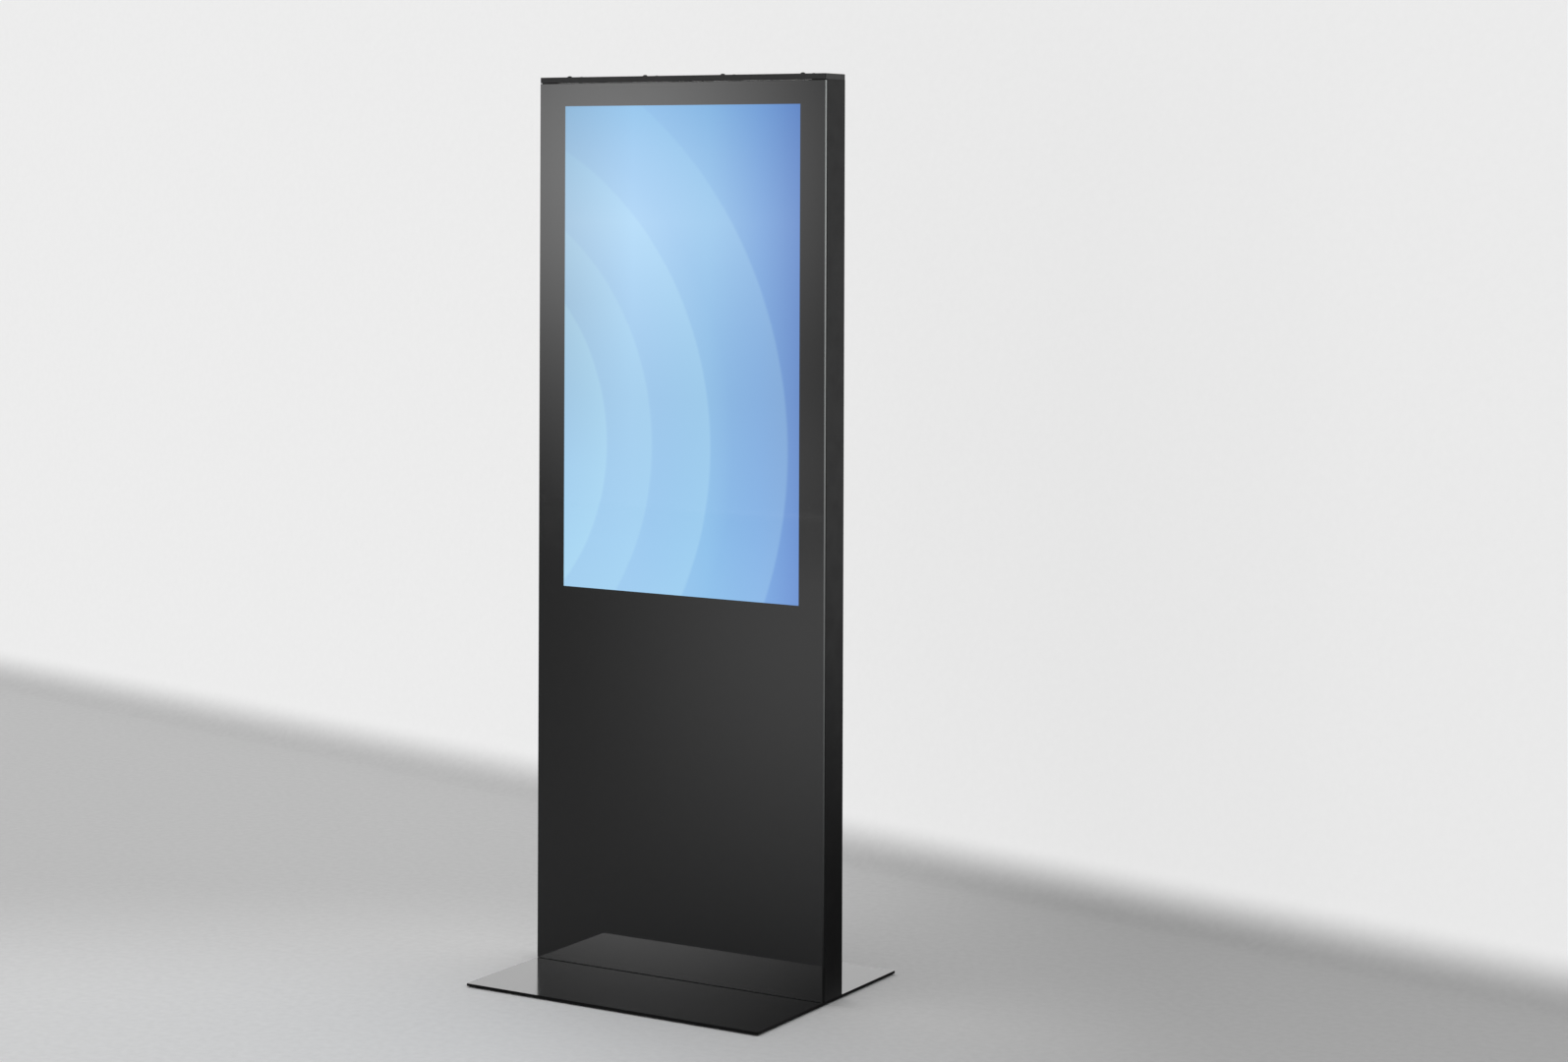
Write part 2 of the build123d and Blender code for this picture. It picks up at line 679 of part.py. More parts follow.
with BuildPart() as cable_grommet:
    with Locations(at(grommet_centre[0], y_skin - 2, grommet_centre[1], "back")):
        Cylinder(grommet_radius - 0.1, sheet + 4, align=(Align.CENTER, Align.CENTER, Align.MIN))
    with Locations(at(grommet_centre[0], y_back, grommet_centre[1], "back")):
        Cylinder(grommet_radius + 3, 2, align=(Align.CENTER, Align.CENTER, Align.MIN))
    with Locations(at(grommet_centre[0], y_skin, grommet_centre[1], "back")):
        Cylinder(grommet_radius + 3, 2, align=(Align.CENTER, Align.CENTER, Align.MAX))
    fillet(cable_grommet.edges().group_by(Axis.Y)[-1], 1)
    # A thin skin stays across the middle until a network cable is pushed through it.
    for mouth, facing in ((y_back + 2, "back"), (y_skin - 2, "front")):
        with Locations(at(grommet_centre[0], mouth, grommet_centre[1], facing)):
            Hole(7, depth=2.4)

# ---------------------------------------------------------------- fans

fan_bore = 38.3
fan_hub = 16
fan_axle = 1.5


def fan_frame_shape():
    """Square fan housing, inner side at z = 0, with the motor plate on four struts."""
    with BuildPart() as frame:
        with BuildSketch():
            RectangleRounded(fan_size, fan_size, 4)
            Circle(fan_bore, mode=Mode.SUBTRACT)
            with GridLocations(fan_hole, fan_hole, 2, 2):
                Circle(screw_panel / 2 + clearance / 2, mode=Mode.SUBTRACT)
        extrude(amount=fan_depth)
        with BuildSketch(Plane.XY.offset(4)):
            Rectangle(fan_size + 2, fan_size + 2)
            Circle(fan_bore + 3, mode=Mode.SUBTRACT)
        extrude(amount=fan_depth - 8, mode=Mode.SUBTRACT)
        with BuildSketch():
            Circle(fan_hub + 1)
            with PolarLocations(0, 4, start_angle=30):
                with Locations(((fan_hub + fan_bore) / 2, 0)):
                    Rectangle(fan_bore - fan_hub + 2, 4)
        extrude(amount=3)
        with Locations((0, 0, 3)):
            Cylinder(fan_axle, 12, align=(Align.CENTER, Align.CENTER, Align.MIN))
    return frame.part


def fan_rotor_shape():
    """Hub with seven twisted blades, turning on the housing's axle."""
    tip_radius = fan_bore - 1.3
    with BuildPart() as rotor:
        with Locations((0, 0, 3.6)):
            Cylinder(fan_hub, 19, align=(Align.CENTER, Align.CENTER, Align.MIN))
        fillet(rotor.edges().group_by(Axis.Z)[-1], 2)
        for blade in range(7):
            turn = math.radians(360 / 7 * blade)
            out = Vector(math.cos(turn), math.sin(turn), 0)
            around = Vector(-math.sin(turn), math.cos(turn), 0)
            for radius, pitch, chord in ((fan_hub - 2, 46, 17), (tip_radius + 3, 30, 27)):
                slope = math.radians(pitch)
                along = around * math.cos(slope) + Vector(0, 0, 1) * math.sin(slope)
                middle = out * radius + Vector(0, 0, 13)
                with BuildSketch(Plane(origin=middle, x_dir=along, z_dir=out)):
                    RectangleRounded(chord, 1.6, 0.7)
            loft()
        Cylinder(tip_radius, 60, mode=Mode.INTERSECT)
        with Locations((0, 0, 3.6)):
            Cylinder(fan_axle + 0.05, 26, mode=Mode.SUBTRACT)
    return rotor.part


fan_frame = fan_frame_shape()
fan_rotor = fan_rotor_shape()
with BuildPart() as fan_frames:
    with Locations(*[at(x, y_skin - fan_depth, z, "back") for x, z in fan_places]):
        add(fan_frame)

with BuildPart() as fan_rotor_left:
    with Locations(at(fan_places[0][0], y_skin - fan_depth, fan_places[0][1], "back")):
        add(fan_rotor)

with BuildPart() as fan_rotor_right:
    with Locations(at(fan_places[1][0], y_skin - fan_depth, fan_places[1][1], "back")):
        add(fan_rotor)

# ---------------------------------------------------------------- rear door

barrel_radius = 4.5
hinge_y = y_back + barrel_radius
pin_radius = 2
hinge_gap = 0.3
leaf_thick = 2
leaf_reach = 20
door_screw_places = [(hinge_x - hinge_screw_reach, z) for x, z in hinge_screw_places]
lock_x = -(x_inner - 38)
lock_places = (z_door[0] + 120, z_door[1] - 120)
lock_radius = 9
stiffener_x = 220
vent_centre = (0, z_door[0] + 85)

with BuildPart() as rear_door:
    with BuildSketch(wall(y_back)):
        with Locations((0, z_door_mid)):
            RectangleRounded(panel_width, z_door[1] - z_door[0], 1.5)
        with Locations(*[(lock_x, z) for z in lock_places]):
            Circle(lock_radius + clearance, mode=Mode.SUBTRACT)
        with Locations(vent_centre):
            with GridLocations(12, 46, 30, 2):
                SlotOverall(38, 4, rotation=90, mode=Mode.SUBTRACT)
        with Locations(*door_screw_places):
            Circle(screw_hinge / 2 + clearance / 2, mode=Mode.SUBTRACT)
    extrude(amount=sheet)
    for x in (-stiffener_x, stiffener_x):
        with BuildSketch(Plane.XY.offset(z_door[0] + 28)):
            with Locations((x, y_skin - 6)):
                Rectangle(30, 12)
            with Locations((x, y_skin - 5)):
                Rectangle(27, 11, mode=Mode.SUBTRACT)
            with Locations(*[(x + side * 20, y_skin - 0.75) for side in (-1, 1)]):
                Rectangle(12, sheet)
        extrude(amount=z_door[1] - z_door[0] - 56)

with BuildPart() as door_seal:
    with BuildSketch(wall(y_skin)):
        with Locations((0, z_door_mid)):
            Rectangle(2 * (panel_screw_x + 5), z_door[1] - z_door[0] - 5)
            Rectangle(2 * (panel_screw_x - 5), z_door[1] - z_door[0] - 25, mode=Mode.SUBTRACT)
        with Locations(*door_screw_places):
            Circle(screw_hinge / 2 + clearance, mode=Mode.SUBTRACT)
    extrude(amount=seal_thick)

filter_width = 360
filter_height = 104
filter_thick = 5
frame_rim = 7

with BuildPart() as filter_mat:
    with BuildSketch(wall(y_skin)):
        with Locations(vent_centre):
            RectangleRounded(filter_width, filter_height, 3)
    extrude(amount=filter_thick)

with BuildPart() as filter_frame:
    with BuildSketch(wall(y_skin)):
        with Locations(vent_centre):
            RectangleRounded(filter_width + 2 * frame_rim, filter_height + 2 * frame_rim, 4)
            RectangleRounded(filter_width + 0.6, filter_height + 0.6, 3, mode=Mode.SUBTRACT)
    extrude(amount=filter_thick + 2)
    with BuildSketch(wall(y_skin - filter_thick)):
        with Locations(vent_centre):
            RectangleRounded(filter_width + frame_rim, filter_height + frame_rim, 4)
            with GridLocations((filter_width + 4) / 6, (filter_height + 4) / 2, 6, 2):
                RectangleRounded(filter_width / 6 - 4, filter_height / 2 - 4, 3, mode=Mode.SUBTRACT)
    extrude(amount=2)


def hinge_leaf(side, knuckles):
    """One leaf with its knuckles. The pin runs along Z at the origin and the leaf lies along side * X."""
    with BuildPart() as leaf:
        for low, high in knuckles:
            with BuildSketch(Plane.XY.offset(low)):
                Circle(barrel_radius)
                with Locations((side * 3.5, leaf_thick / 2 - barrel_radius)):
                    Rectangle(7, leaf_thick)
                Circle(pin_radius + 0.05, mode=Mode.SUBTRACT)
            extrude(amount=high - low)
        with BuildSketch(Plane.XZ.offset(barrel_radius)):
            with Locations((side * (leaf_reach + 6) / 2, hinge_height / 2)):
                RectangleRounded(leaf_reach - 6, hinge_height, 2)
        extrude(amount=-leaf_thick)
        screw_x = side * hinge_screw_reach
        with Locations(*[at(screw_x, leaf_thick - barrel_radius, z, "back") for z in hinge_screw_z]):
            CounterSinkHole(
                screw_hinge / 2 + clearance / 2,
                0.95 * screw_hinge + clearance / 2,
                depth=leaf_thick + 1,
                counter_sink_angle=90,
            )
    return leaf.part


knuckle = hinge_height / 3
frame_leaf = hinge_leaf(1, [(0, knuckle), (2 * knuckle, hinge_height)])
door_leaf = hinge_leaf(-1, [(knuckle + hinge_gap, 2 * knuckle - hinge_gap)])
hinge_origins = [(hinge_x, hinge_y, low) for low in hinge_low]

with BuildPart() as hinge_frame_leaves:
    with Locations(*hinge_origins):
        add(frame_leaf)

with BuildPart() as hinge_door_leaves:
    with Locations(*hinge_origins):
        add(door_leaf)

with BuildPart() as hinge_pins:
    with Locations(*[(x, y, z - 1) for x, y, z in hinge_origins]):
        Cylinder(pin_radius, hinge_height + 2, align=(Align.CENTER, Align.CENTER, Align.MIN))
        with Locations((0, 0, hinge_height + 1)):
            Cylinder(pin_radius + 1, 1.2, align=(Align.CENTER, Align.CENTER, Align.MIN))

frame_hinge_screw = countersunk_screw(screw_hinge, 10)
door_hinge_screw = countersunk_screw(screw_hinge, 6)
with BuildPart() as hinge_frame_screws:
    with Locations(*[at(x, y_back + leaf_thick, z, "back") for x, z in hinge_screw_places]):
        add(frame_hinge_screw)

with BuildPart() as hinge_door_screws:
    with Locations(*[at(x, y_back + leaf_thick, z, "back") for x, z in door_screw_places]):
        add(door_hinge_screw)

# ---------------------------------------------------------------- cam locks on the door

plug_radius = 6.4
housing_back = 31  # inner end of the lock barrel
cam_y = 28
cam_thick = 2.5
cam_crank = 17  # where the cam steps back towards the flange
cam_reach = 34
cam_half_width = 8
tongue_y = y_lip_in - 1.2 - cam_thick

with BuildPart() as lock_housings:
    for z in lock_places:
        with Locations(at(lock_x, housing_back, z, "back")):
            Cylinder(lock_radius, y_back - housing_back, align=(Align.CENTER, Align.CENTER, Align.MIN))
        with Locations(at(lock_x, y_back, z, "back")):
            Cylinder(11, 2.5, align=(Align.CENTER, Align.CENTER, Align.MIN))
    chamfer(lock_housings.edges().group_by(Axis.Y)[-1], 0.8)
    for z in lock_places:
        with Locations(at(lock_x, y_back + 2.5, z, "back")):
            Hole(plug_radius + 0.1, depth=30)

with BuildPart() as lock_nuts:
    for z in lock_places:
        with BuildSketch(wall(y_skin)):
            with Locations((lock_x, z)):
                RegularPolygon(radius=12, side_count=6, major_radius=False)
                Circle(lock_radius + 0.1, mode=Mode.SUBTRACT)
        extrude(amount=3.5)


def lock_plug(z):
    """Keyed plug with the stub that holds the cam and its end screw."""
    length = y_back + 2.2 - cam_y - cam_thick
    with BuildPart() as plug:
        with Locations(at(lock_x, cam_y + cam_thick, z, "back")):
            Cylinder(plug_radius, length, align=(Align.CENTER, Align.CENTER, Align.MIN))
        with Locations(at(lock_x, cam_y - 2, z, "back")):
            Cylinder(4, cam_thick + 3, align=(Align.CENTER, Align.CENTER, Align.MIN))
            Cylinder(5.5, 1.9, align=(Align.CENTER, Align.CENTER, Align.MIN))
        with BuildSketch(wall(y_back + 2.2)):
            with Locations((lock_x, z)):
                SlotOverall(9, 1.8, rotation=90)
        extrude(amount=8, mode=Mode.SUBTRACT)
    return plug.part


def lock_cam(z):
    """Cranked steel tongue, hanging down in the unlocked position."""
    with BuildPart() as cam:
        with Locations(at(lock_x, cam_y, z, "back")):
            Cylinder(cam_half_width, cam_thick, align=(Align.CENTER, Align.CENTER, Align.MIN))
        block(
            (lock_x - cam_half_width, lock_x + cam_half_width),
            (cam_y, cam_y + cam_thick),
            (z - cam_crank, z),
        )
        block(
            (lock_x - cam_half_width, lock_x + cam_half_width),
            (cam_y, tongue_y + cam_thick),
            (z - cam_crank - cam_thick, z - cam_crank),
        )
        block(
            (lock_x - cam_half_width, lock_x + cam_half_width),
            (tongue_y, tongue_y + cam_thick),
            (z - cam_reach, z - cam_crank),
        )
        fillet(cam.edges().group_by(Axis.Z)[0].filter_by(Axis.Y), 4)
        with Locations(at(lock_x, cam_y, z, "back")):
            Cylinder(4.05, 4 * cam_thick, mode=Mode.SUBTRACT)
    return cam.part


plug_low, plug_high = (lock_plug(z) for z in lock_places)
cam_low, cam_high = (lock_cam(z) for z in lock_places)
with BuildPart() as lock_plug_lower:
    add(plug_low)
with BuildPart() as lock_plug_upper:
    add(plug_high)
with BuildPart() as lock_cam_lower:
    add(cam_low)
with BuildPart() as lock_cam_upper:
    add(cam_high)

# ---------------------------------------------------------------- mains inlet in the skirt

inlet_flange = (70, 34)
socket_centre = (inlet_centre[0] + 13, inlet_centre[1])
rocker_centre = (inlet_centre[0] - 19, inlet_centre[1])
rocker_size = (14, 21)
rocker_pivot_y = y_back - 1
rocker_tilt = 8  # either side of the middle
rocker_axle = 1

with BuildPart() as mains_inlet:
    with BuildSketch(wall(y_back + 2.5)):
        with Locations(inlet_centre):
            RectangleRounded(*inlet_flange, 3)
    extrude(amount=2.5)
    chamfer(mains_inlet.faces().sort_by(Axis.Y)[-1].edges(), 0.6)
    with BuildSketch(wall(y_back)):
        with Locations(inlet_centre):
            Rectangle(inlet_cut[0] - 0.6, inlet_cut[1] - 0.6)
    extrude(amount=26)
    with BuildSketch(wall(y_back + 2.5)):
        with Locations(socket_centre):
            with BuildLine():
                Polyline((-12, -8.5), (12, -8.5), (12, 4), (7.5, 8.5), (-7.5, 8.5), (-12, 4), close=True)
            make_face()
    extrude(amount=18, mode=Mode.SUBTRACT)
    with BuildSketch(wall(y_back + 2.5)):
        with Locations(rocker_centre):
            Rectangle(rocker_size[0] + 1, rocker_size[1] + 1)
    extrude(amount=12, mode=Mode.SUBTRACT)
    for dx, dz in ((-7, -2), (7, -2), (0, 3)):
        x, z = socket_centre[0] + dx, socket_centre[1] + dz
        block((x - 2, x + 2), (y_back - 16, y_back - 1), (z - 1, z + 1))
    with Locations(at(rocker_centre[0], rocker_pivot_y, rocker_centre[1], "right")):
        Cylinder(rocker_axle, rocker_size[0] + 4)

with BuildPart() as power_switch:
    with BuildSketch(Plane.YZ.offset(rocker_centre[0] - rocker_size[0] / 2)):
        with BuildLine():
            Polyline(
                (rocker_pivot_y + 3, rocker_centre[1]),
                (rocker_pivot_y + 4.5, rocker_centre[1] + rocker_size[1] / 2 - 0.4),
                (rocker_pivot_y - 1.5, rocker_centre[1] + rocker_size[1] / 2 - 0.4),
                (rocker_pivot_y - 5, rocker_centre[1] + 3),
                (rocker_pivot_y - 5, rocker_centre[1] - 3),
                (rocker_pivot_y - 1.5, rocker_centre[1] - rocker_size[1] / 2 + 0.4),
                (rocker_pivot_y + 4.5, rocker_centre[1] - rocker_size[1] / 2 + 0.4),
                close=True,
            )
        make_face()
    extrude(amount=rocker_size[0])
    with Locations(at(rocker_centre[0], rocker_pivot_y, rocker_centre[1], "right")):
        Cylinder(rocker_axle + 0.05, rocker_size[0] + 2, mode=Mode.SUBTRACT)
rocker_axis = Axis((rocker_centre[0], rocker_pivot_y, rocker_centre[1]), (1, 0, 0))
power_switch.part = power_switch.part.rotate(rocker_axis, -rocker_tilt)

# ---------------------------------------------------------------- equipment behind the lower glass

plate_z_mid = (plate_z[0] + plate_z[1]) / 2

with BuildPart() as equipment_plate:
    with BuildSketch(wall(y_plate)):
        with Locations((0, plate_z_mid)):
            RectangleRounded(2 * x_inner - 2, plate_z[1] - plate_z[0], 4)
        with Locations(*plate_screw_places):
            Circle(screw_panel / 2 + clearance, mode=Mode.SUBTRACT)
        with Locations((0, plate_z[1] - 40), (0, plate_z[0] + 40)):
            with GridLocations(90, 0, 6, 1):
                SlotOverall(50, 12, mode=Mode.SUBTRACT)
    extrude(amount=sheet)

player_x = (-70, 120)
player_z = (z_base + 460, z_base + 610)
player_depth = 30
fin_depth = 11
button_x = player_x[0] + 12
button_z = player_z[0] + 16
button_radius = 5

with BuildPart() as media_player:
    with BuildSketch(wall(y_plate + player_depth)):
        with Locations((sum(player_x) / 2, sum(player_z) / 2)):
            RectangleRounded(player_x[1] - player_x[0], player_z[1] - player_z[0], 4)
    extrude(amount=player_depth)
    for step in range(16):
        x = player_x[0] + 30 + step * 9.6
        block((x, x + 2.4), (y_plate + player_depth - 1, y_plate + player_depth + fin_depth), player_z)
    for x in (-25, 5, 35, 65):
        for low, high in ((player_z[0] - 1, player_z[0] + 8), (player_z[1] - 8, player_z[1] + 1)):
            block((x, x + 16), (y_plate + 6, y_plate + 14), (low, high), mode=Mode.SUBTRACT)
    with Locations(at(button_x, y_plate + player_depth, button_z, "back")):
        Hole(button_radius + 0.3, depth=6)

with BuildPart() as player_button:
    with Locations(at(button_x, y_plate + player_depth - 4, button_z, "back")):
        Cylinder(button_radius, 5.5, align=(Align.CENTER, Align.CENTER, Align.MIN))
    fillet(player_button.edges().group_by(Axis.Y)[-1], 0.8)

supply_x = (60, 126)
supply_z = (z_base + 210, z_base + 375)
supply_depth = 34
supply_mid = (sum(supply_x) / 2, sum(supply_z) / 2)

with BuildPart() as power_supply:
    with BuildSketch(wall(y_plate + supply_depth)):
        with Locations(supply_mid):
            RectangleRounded(supply_x[1] - supply_x[0], supply_z[1] - supply_z[0], 5)
    extrude(amount=supply_depth)
    fillet(power_supply.faces().sort_by(Axis.Y)[-1].edges(), 3)
    for z in supply_z:
        with Locations(at(supply_mid[0], y_plate + 16, z)):
            Cylinder(6, 8)

strip_x = (-215, -165)
strip_z = (z_base + 180, z_base + 420)
strip_depth = 34
outlet_z = [strip_z[0] + 36 + step * 56 for step in range(4)]
strip_mid = (sum(strip_x) / 2, sum(strip_z) / 2)

with BuildPart() as outlet_strip:
    with BuildSketch(wall(y_plate + strip_depth)):
        with Locations(strip_mid):
            RectangleRounded(strip_x[1] - strip_x[0], strip_z[1] - strip_z[0], 5)
    extrude(amount=strip_depth)
    chamfer(outlet_strip.faces().sort_by(Axis.Y)[-1].edges(), 1)
    with BuildSketch(wall(y_plate + strip_depth)):
        with Locations(*[(strip_mid[0], z) for z in outlet_z]):
            RectangleRounded(28, 20, 3)
            RectangleRounded(23, 15, 2, mode=Mode.SUBTRACT)
    extrude(amount=12, mode=Mode.SUBTRACT)

touch_box_x = (-230, -130)
touch_box_z = (z_base + 560, z_base + 620)
touch_box_depth = 16
touch_box_mid = (sum(touch_box_x) / 2, sum(touch_box_z) / 2)

with BuildPart() as touch_controller:
    with BuildSketch(wall(y_plate + touch_box_depth)):
        with Locations(touch_box_mid):
            RectangleRounded(touch_box_x[1] - touch_box_x[0], touch_box_z[1] - touch_box_z[0], 4)
    extrude(amount=touch_box_depth)
    fillet(touch_controller.faces().sort_by(Axis.Y)[-1].edges(), 1.5)
    with BuildSketch(wall(y_plate + touch_box_depth)):
        with Locations(touch_box_mid):
            with GridLocations(8, 0, 9, 1):
                SlotOverall(30, 3, rotation=90)
    extrude(amount=1, mode=Mode.SUBTRACT)

# ---------------------------------------------------------------- cables


def cable(points, radius, bend=14):
    """A round cable along straight runs joined by bends."""
    with BuildPart() as run:
        with BuildLine() as path:
            FilletPolyline(*points, radius=bend)
        with BuildSketch(Plane(origin=path.line @ 0, z_dir=path.line % 0)):
            Circle(radius)
        sweep()
    return run.part


def ribbon(points, width, thick):
    """A flat cable bent in the YZ plane. The points are (x, y, z) along its middle."""
    with BuildPart() as run:
        with BuildLine() as path:
            FilletPolyline(*points, radius=1.5)
        with BuildSketch(Plane(origin=path.line @ 0, x_dir=(1, 0, 0), z_dir=path.line % 0)):
            Rectangle(width, thick)
        sweep()
    return run.part


plug_depth = 13
y_strip = y_plate + strip_depth
y_plug = y_strip + plug_depth / 2
strip_cable_x = strip_mid[0]
inlet_back = y_back - 26
display_inlet_x = sum(inlet_x) / 2
display_inlet_y = sum(sockets_y) / 2
z_display_plug = z_sockets[0]
rail_clear = 14  # depth at which cables pass in front of the upper rear rail

mains_in = cable(
    [
        (inlet_centre[0], inlet_back - 4, inlet_centre[1]),
        (inlet_centre[0], 2, inlet_centre[1]),
        (inlet_centre[0], 2, strip_z[0] - 40),
        (strip_cable_x, 2, strip_z[0] - 12),
        (strip_cable_x, 2, strip_z[0]),
    ],
    3.5,
    8,
)
display_mains = cable(
    [
        (strip_cable_x, y_plug, outlet_z[3] + 12),
        (strip_cable_x, y_plug, outlet_z[3] + 110),
        (display_inlet_x, rail_clear, outlet_z[3] + 190),
        (display_inlet_x, rail_clear, z_display_plug - 60),
        (display_inlet_x, display_inlet_y, z_display_plug - 40),
        (display_inlet_x, display_inlet_y, z_display_plug - 20),
    ],
    3.5,
    10,
)
supply_mains = cable(
    [
        (strip_cable_x, y_plug, outlet_z[0] - 12),
        (strip_cable_x, y_plug, outlet_z[0] - 60),
        (supply_mid[0], y_plate + 16, outlet_z[0] - 60),
        (supply_mid[0], y_plate + 16, supply_z[0] - 4),
    ],
    3,
    16,
)

with BuildPart() as mains_cables:
    add(mains_in)
    add(display_mains)
    add(supply_mains)
    block(
        (inlet_centre[0] - 12, inlet_centre[0] + 12),
        (inlet_back - 6, inlet_back),
        (inlet_centre[1] - 8, inlet_centre[1] + 8),
    )
    for z in (outlet_z[3], outlet_z[0]):
        block((strip_cable_x - 13, strip_cable_x + 13), (y_strip, y_strip + plug_depth), (z - 13, z + 13))
    block(
        (display_inlet_x - 13, display_inlet_x + 13),
        (sockets_y[0], sockets_y[1]),
        (z_display_plug - 24, z_display_plug),
    )

video_x = player_x[0] + 53
picture_socket_x = 54
player_port_y = y_plate + 10
video_run = cable(
    [
        (video_x + 30, player_port_y, player_z[1] - 4),
        (video_x + 30, player_port_y, player_z[1] + 30),
        (picture_socket_x, rail_clear - 4, player_z[1] + 70),
        (picture_socket_x, display_inlet_y, z_display_plug - 30),
        (picture_socket_x, display_inlet_y, z_display_plug - 10),
    ],
    3,
    8,
)
touch_run = cable(
    [
        (touch_box_x[1], y_plate + 8, touch_box_z[0] + 14),
        (touch_box_x[1] + 22, y_plate + 8, touch_box_z[0] + 14),
        (touch_box_x[1] + 22, y_plate + 8, player_z[0] - 34),
        (-17, y_plate + 10, player_z[0] - 34),
        (-17, y_plate + 10, player_z[0] + 4),
    ],
    2,
    12,
)
power_run = cable(
    [
        (supply_mid[0], y_plate + 16, supply_z[1] + 4),
        (supply_mid[0], y_plate + 16, supply_z[1] + 30),
        (43, y_plate + 10, player_z[0] - 30),
        (43, y_plate + 10, player_z[0] + 4),
    ],
    2,
    10,
)
fan_run = cable(
    [
        (fan_places[1][0], y_skin - 3, fan_places[1][1] - fan_size / 2 - 1),
        (fan_places[1][0], y_skin - 3, fan_places[1][1] - fan_size / 2 - 14),
        (268, y_skin - 1.9, fan_places[1][1] - fan_size / 2 - 22),
        (268, y_skin - 1.9, z_crossbars[0] - 60),
        (268, rail_clear, z_crossbars[0] - 110),
        (268, rail_clear, supply_z[1] + 60),
        (supply_x[1] - 12, y_plate + 24, supply_z[1] + 60),
        (supply_x[1] - 12, y_plate + 24, supply_z[1]),
    ],
    1.4,
    5,
)

ribbon_run = ribbon(
    [
        (touch_box_mid[0], y_sensor + 0.35, z_picture_low - 10.3),
        (touch_box_mid[0], y_sensor + 0.35, z_picture_low - 15),
        (touch_box_mid[0], y_plate + 1, z_picture_low - 16),
        (touch_box_mid[0], y_plate + 1, touch_box_z[1]),
    ],
    30,
    0.5,
)

with BuildPart() as data_cables:
    add(video_run)
    add(touch_run)
    add(power_run)
    add(fan_run)
    add(ribbon_run)
    block((picture_socket_x - 8, picture_socket_x + 8), sockets_y, (z_display_plug - 26, z_display_plug))
    block((36, 50), (player_port_y - 3.5, player_port_y + 3.5), (player_z[1] - 4, player_z[1] + 18))
    for x in (-17, 43):
        block((x - 6, x + 6), (player_port_y - 3, player_port_y + 3), (player_z[0] - 16, player_z[0] + 4))

# ---------------------------------------------------------------- output

pieces = {
    "base_plate": base_plate,
    "floor_pads": floor_pads,
    "base_bolts": base_bolts,
    "base_nuts": base_nuts,
    "foot_channel": foot_channel,
    "side_profile_left": side_profile_left,
    "side_profile_right": side_profile_right,
    "top_rail": top_rail,
    "top_cap": top_cap,
    "top_cap_screws": top_cap_screws,
    "rear_rails": rear_rails,
    "crossbars": crossbars,
    "frame_bolts": frame_bolts,
    "front_glass": front_glass,
    "glass_border_print": glass_border_print,
    "glass_bond_tape": glass_bond_tape,
    "touch_sensor": touch_sensor,
    "touch_controller": touch_controller,
    "display_gasket": display_gasket,
    "display_bezel": display_bezel,
    "lcd_panel": lcd_panel,
    "backlight_unit": backlight_unit,
    "display_chassis": display_chassis,
    "display_boards": display_boards,
    "display_rear_cover": display_rear_cover,
    "display_key": display_key,
    "display_mount_rails": display_mount_rails,
    "display_mount_screws": display_mount_screws,
    "rear_panel": rear_panel,
    "rear_panel_seal": rear_panel_seal,
    "panel_screws": panel_screws,
    "rear_skirt": rear_skirt,
    "cable_grommet": cable_grommet,
    "mains_inlet": mains_inlet,
    "power_switch": power_switch,
    "fan_frames": fan_frames,
    "fan_rotor_left": fan_rotor_left,
    "fan_rotor_right": fan_rotor_right,
    "rear_door": rear_door,
    "door_seal": door_seal,
    "filter_mat": filter_mat,
    "filter_frame": filter_frame,
    "hinge_frame_leaves": hinge_frame_leaves,
    "hinge_door_leaves": hinge_door_leaves,
    "hinge_pins": hinge_pins,
    "hinge_frame_screws": hinge_frame_screws,
    "hinge_door_screws": hinge_door_screws,
    "lock_housings": lock_housings,
    "lock_nuts": lock_nuts,
    "lock_plug_lower": lock_plug_lower,
    "lock_plug_upper": lock_plug_upper,
    "lock_cam_lower": lock_cam_lower,
    "lock_cam_upper": lock_cam_upper,
    "equipment_plate": equipment_plate,
    "media_player": media_player,
    "player_button": player_button,
    "power_supply": power_supply,
    "outlet_strip": outlet_strip,
    "mains_cables": mains_cables,
    "data_cables": data_cables,
}
for name, piece in pieces.items():
    piece.part.label = name
    export_step(piece.part, f"parts/{name}.step")
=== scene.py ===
"""Look of the touchscreen kiosk: materials, added detail, soft studio light and the main camera."""

import json
import math

import bmesh
import bpy
from mathutils import Matrix, Vector, noise
from mathutils.bvhtree import BVHTree


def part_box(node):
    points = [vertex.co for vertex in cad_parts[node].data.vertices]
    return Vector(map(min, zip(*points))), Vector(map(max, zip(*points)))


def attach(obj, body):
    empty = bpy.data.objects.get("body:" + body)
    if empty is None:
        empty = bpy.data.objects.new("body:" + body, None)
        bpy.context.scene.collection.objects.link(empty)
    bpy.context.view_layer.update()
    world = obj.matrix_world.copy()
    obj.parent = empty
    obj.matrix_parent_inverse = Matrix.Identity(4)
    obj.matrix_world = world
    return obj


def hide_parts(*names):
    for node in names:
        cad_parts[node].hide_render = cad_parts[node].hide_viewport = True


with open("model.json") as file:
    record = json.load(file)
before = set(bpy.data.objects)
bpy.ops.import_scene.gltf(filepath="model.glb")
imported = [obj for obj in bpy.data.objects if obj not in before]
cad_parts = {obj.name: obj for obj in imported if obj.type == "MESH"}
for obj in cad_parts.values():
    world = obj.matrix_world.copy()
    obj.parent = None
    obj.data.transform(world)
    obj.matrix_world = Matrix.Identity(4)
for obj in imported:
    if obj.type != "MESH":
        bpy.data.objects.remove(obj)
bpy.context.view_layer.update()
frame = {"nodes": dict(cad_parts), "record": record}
nodes = frame["nodes"]

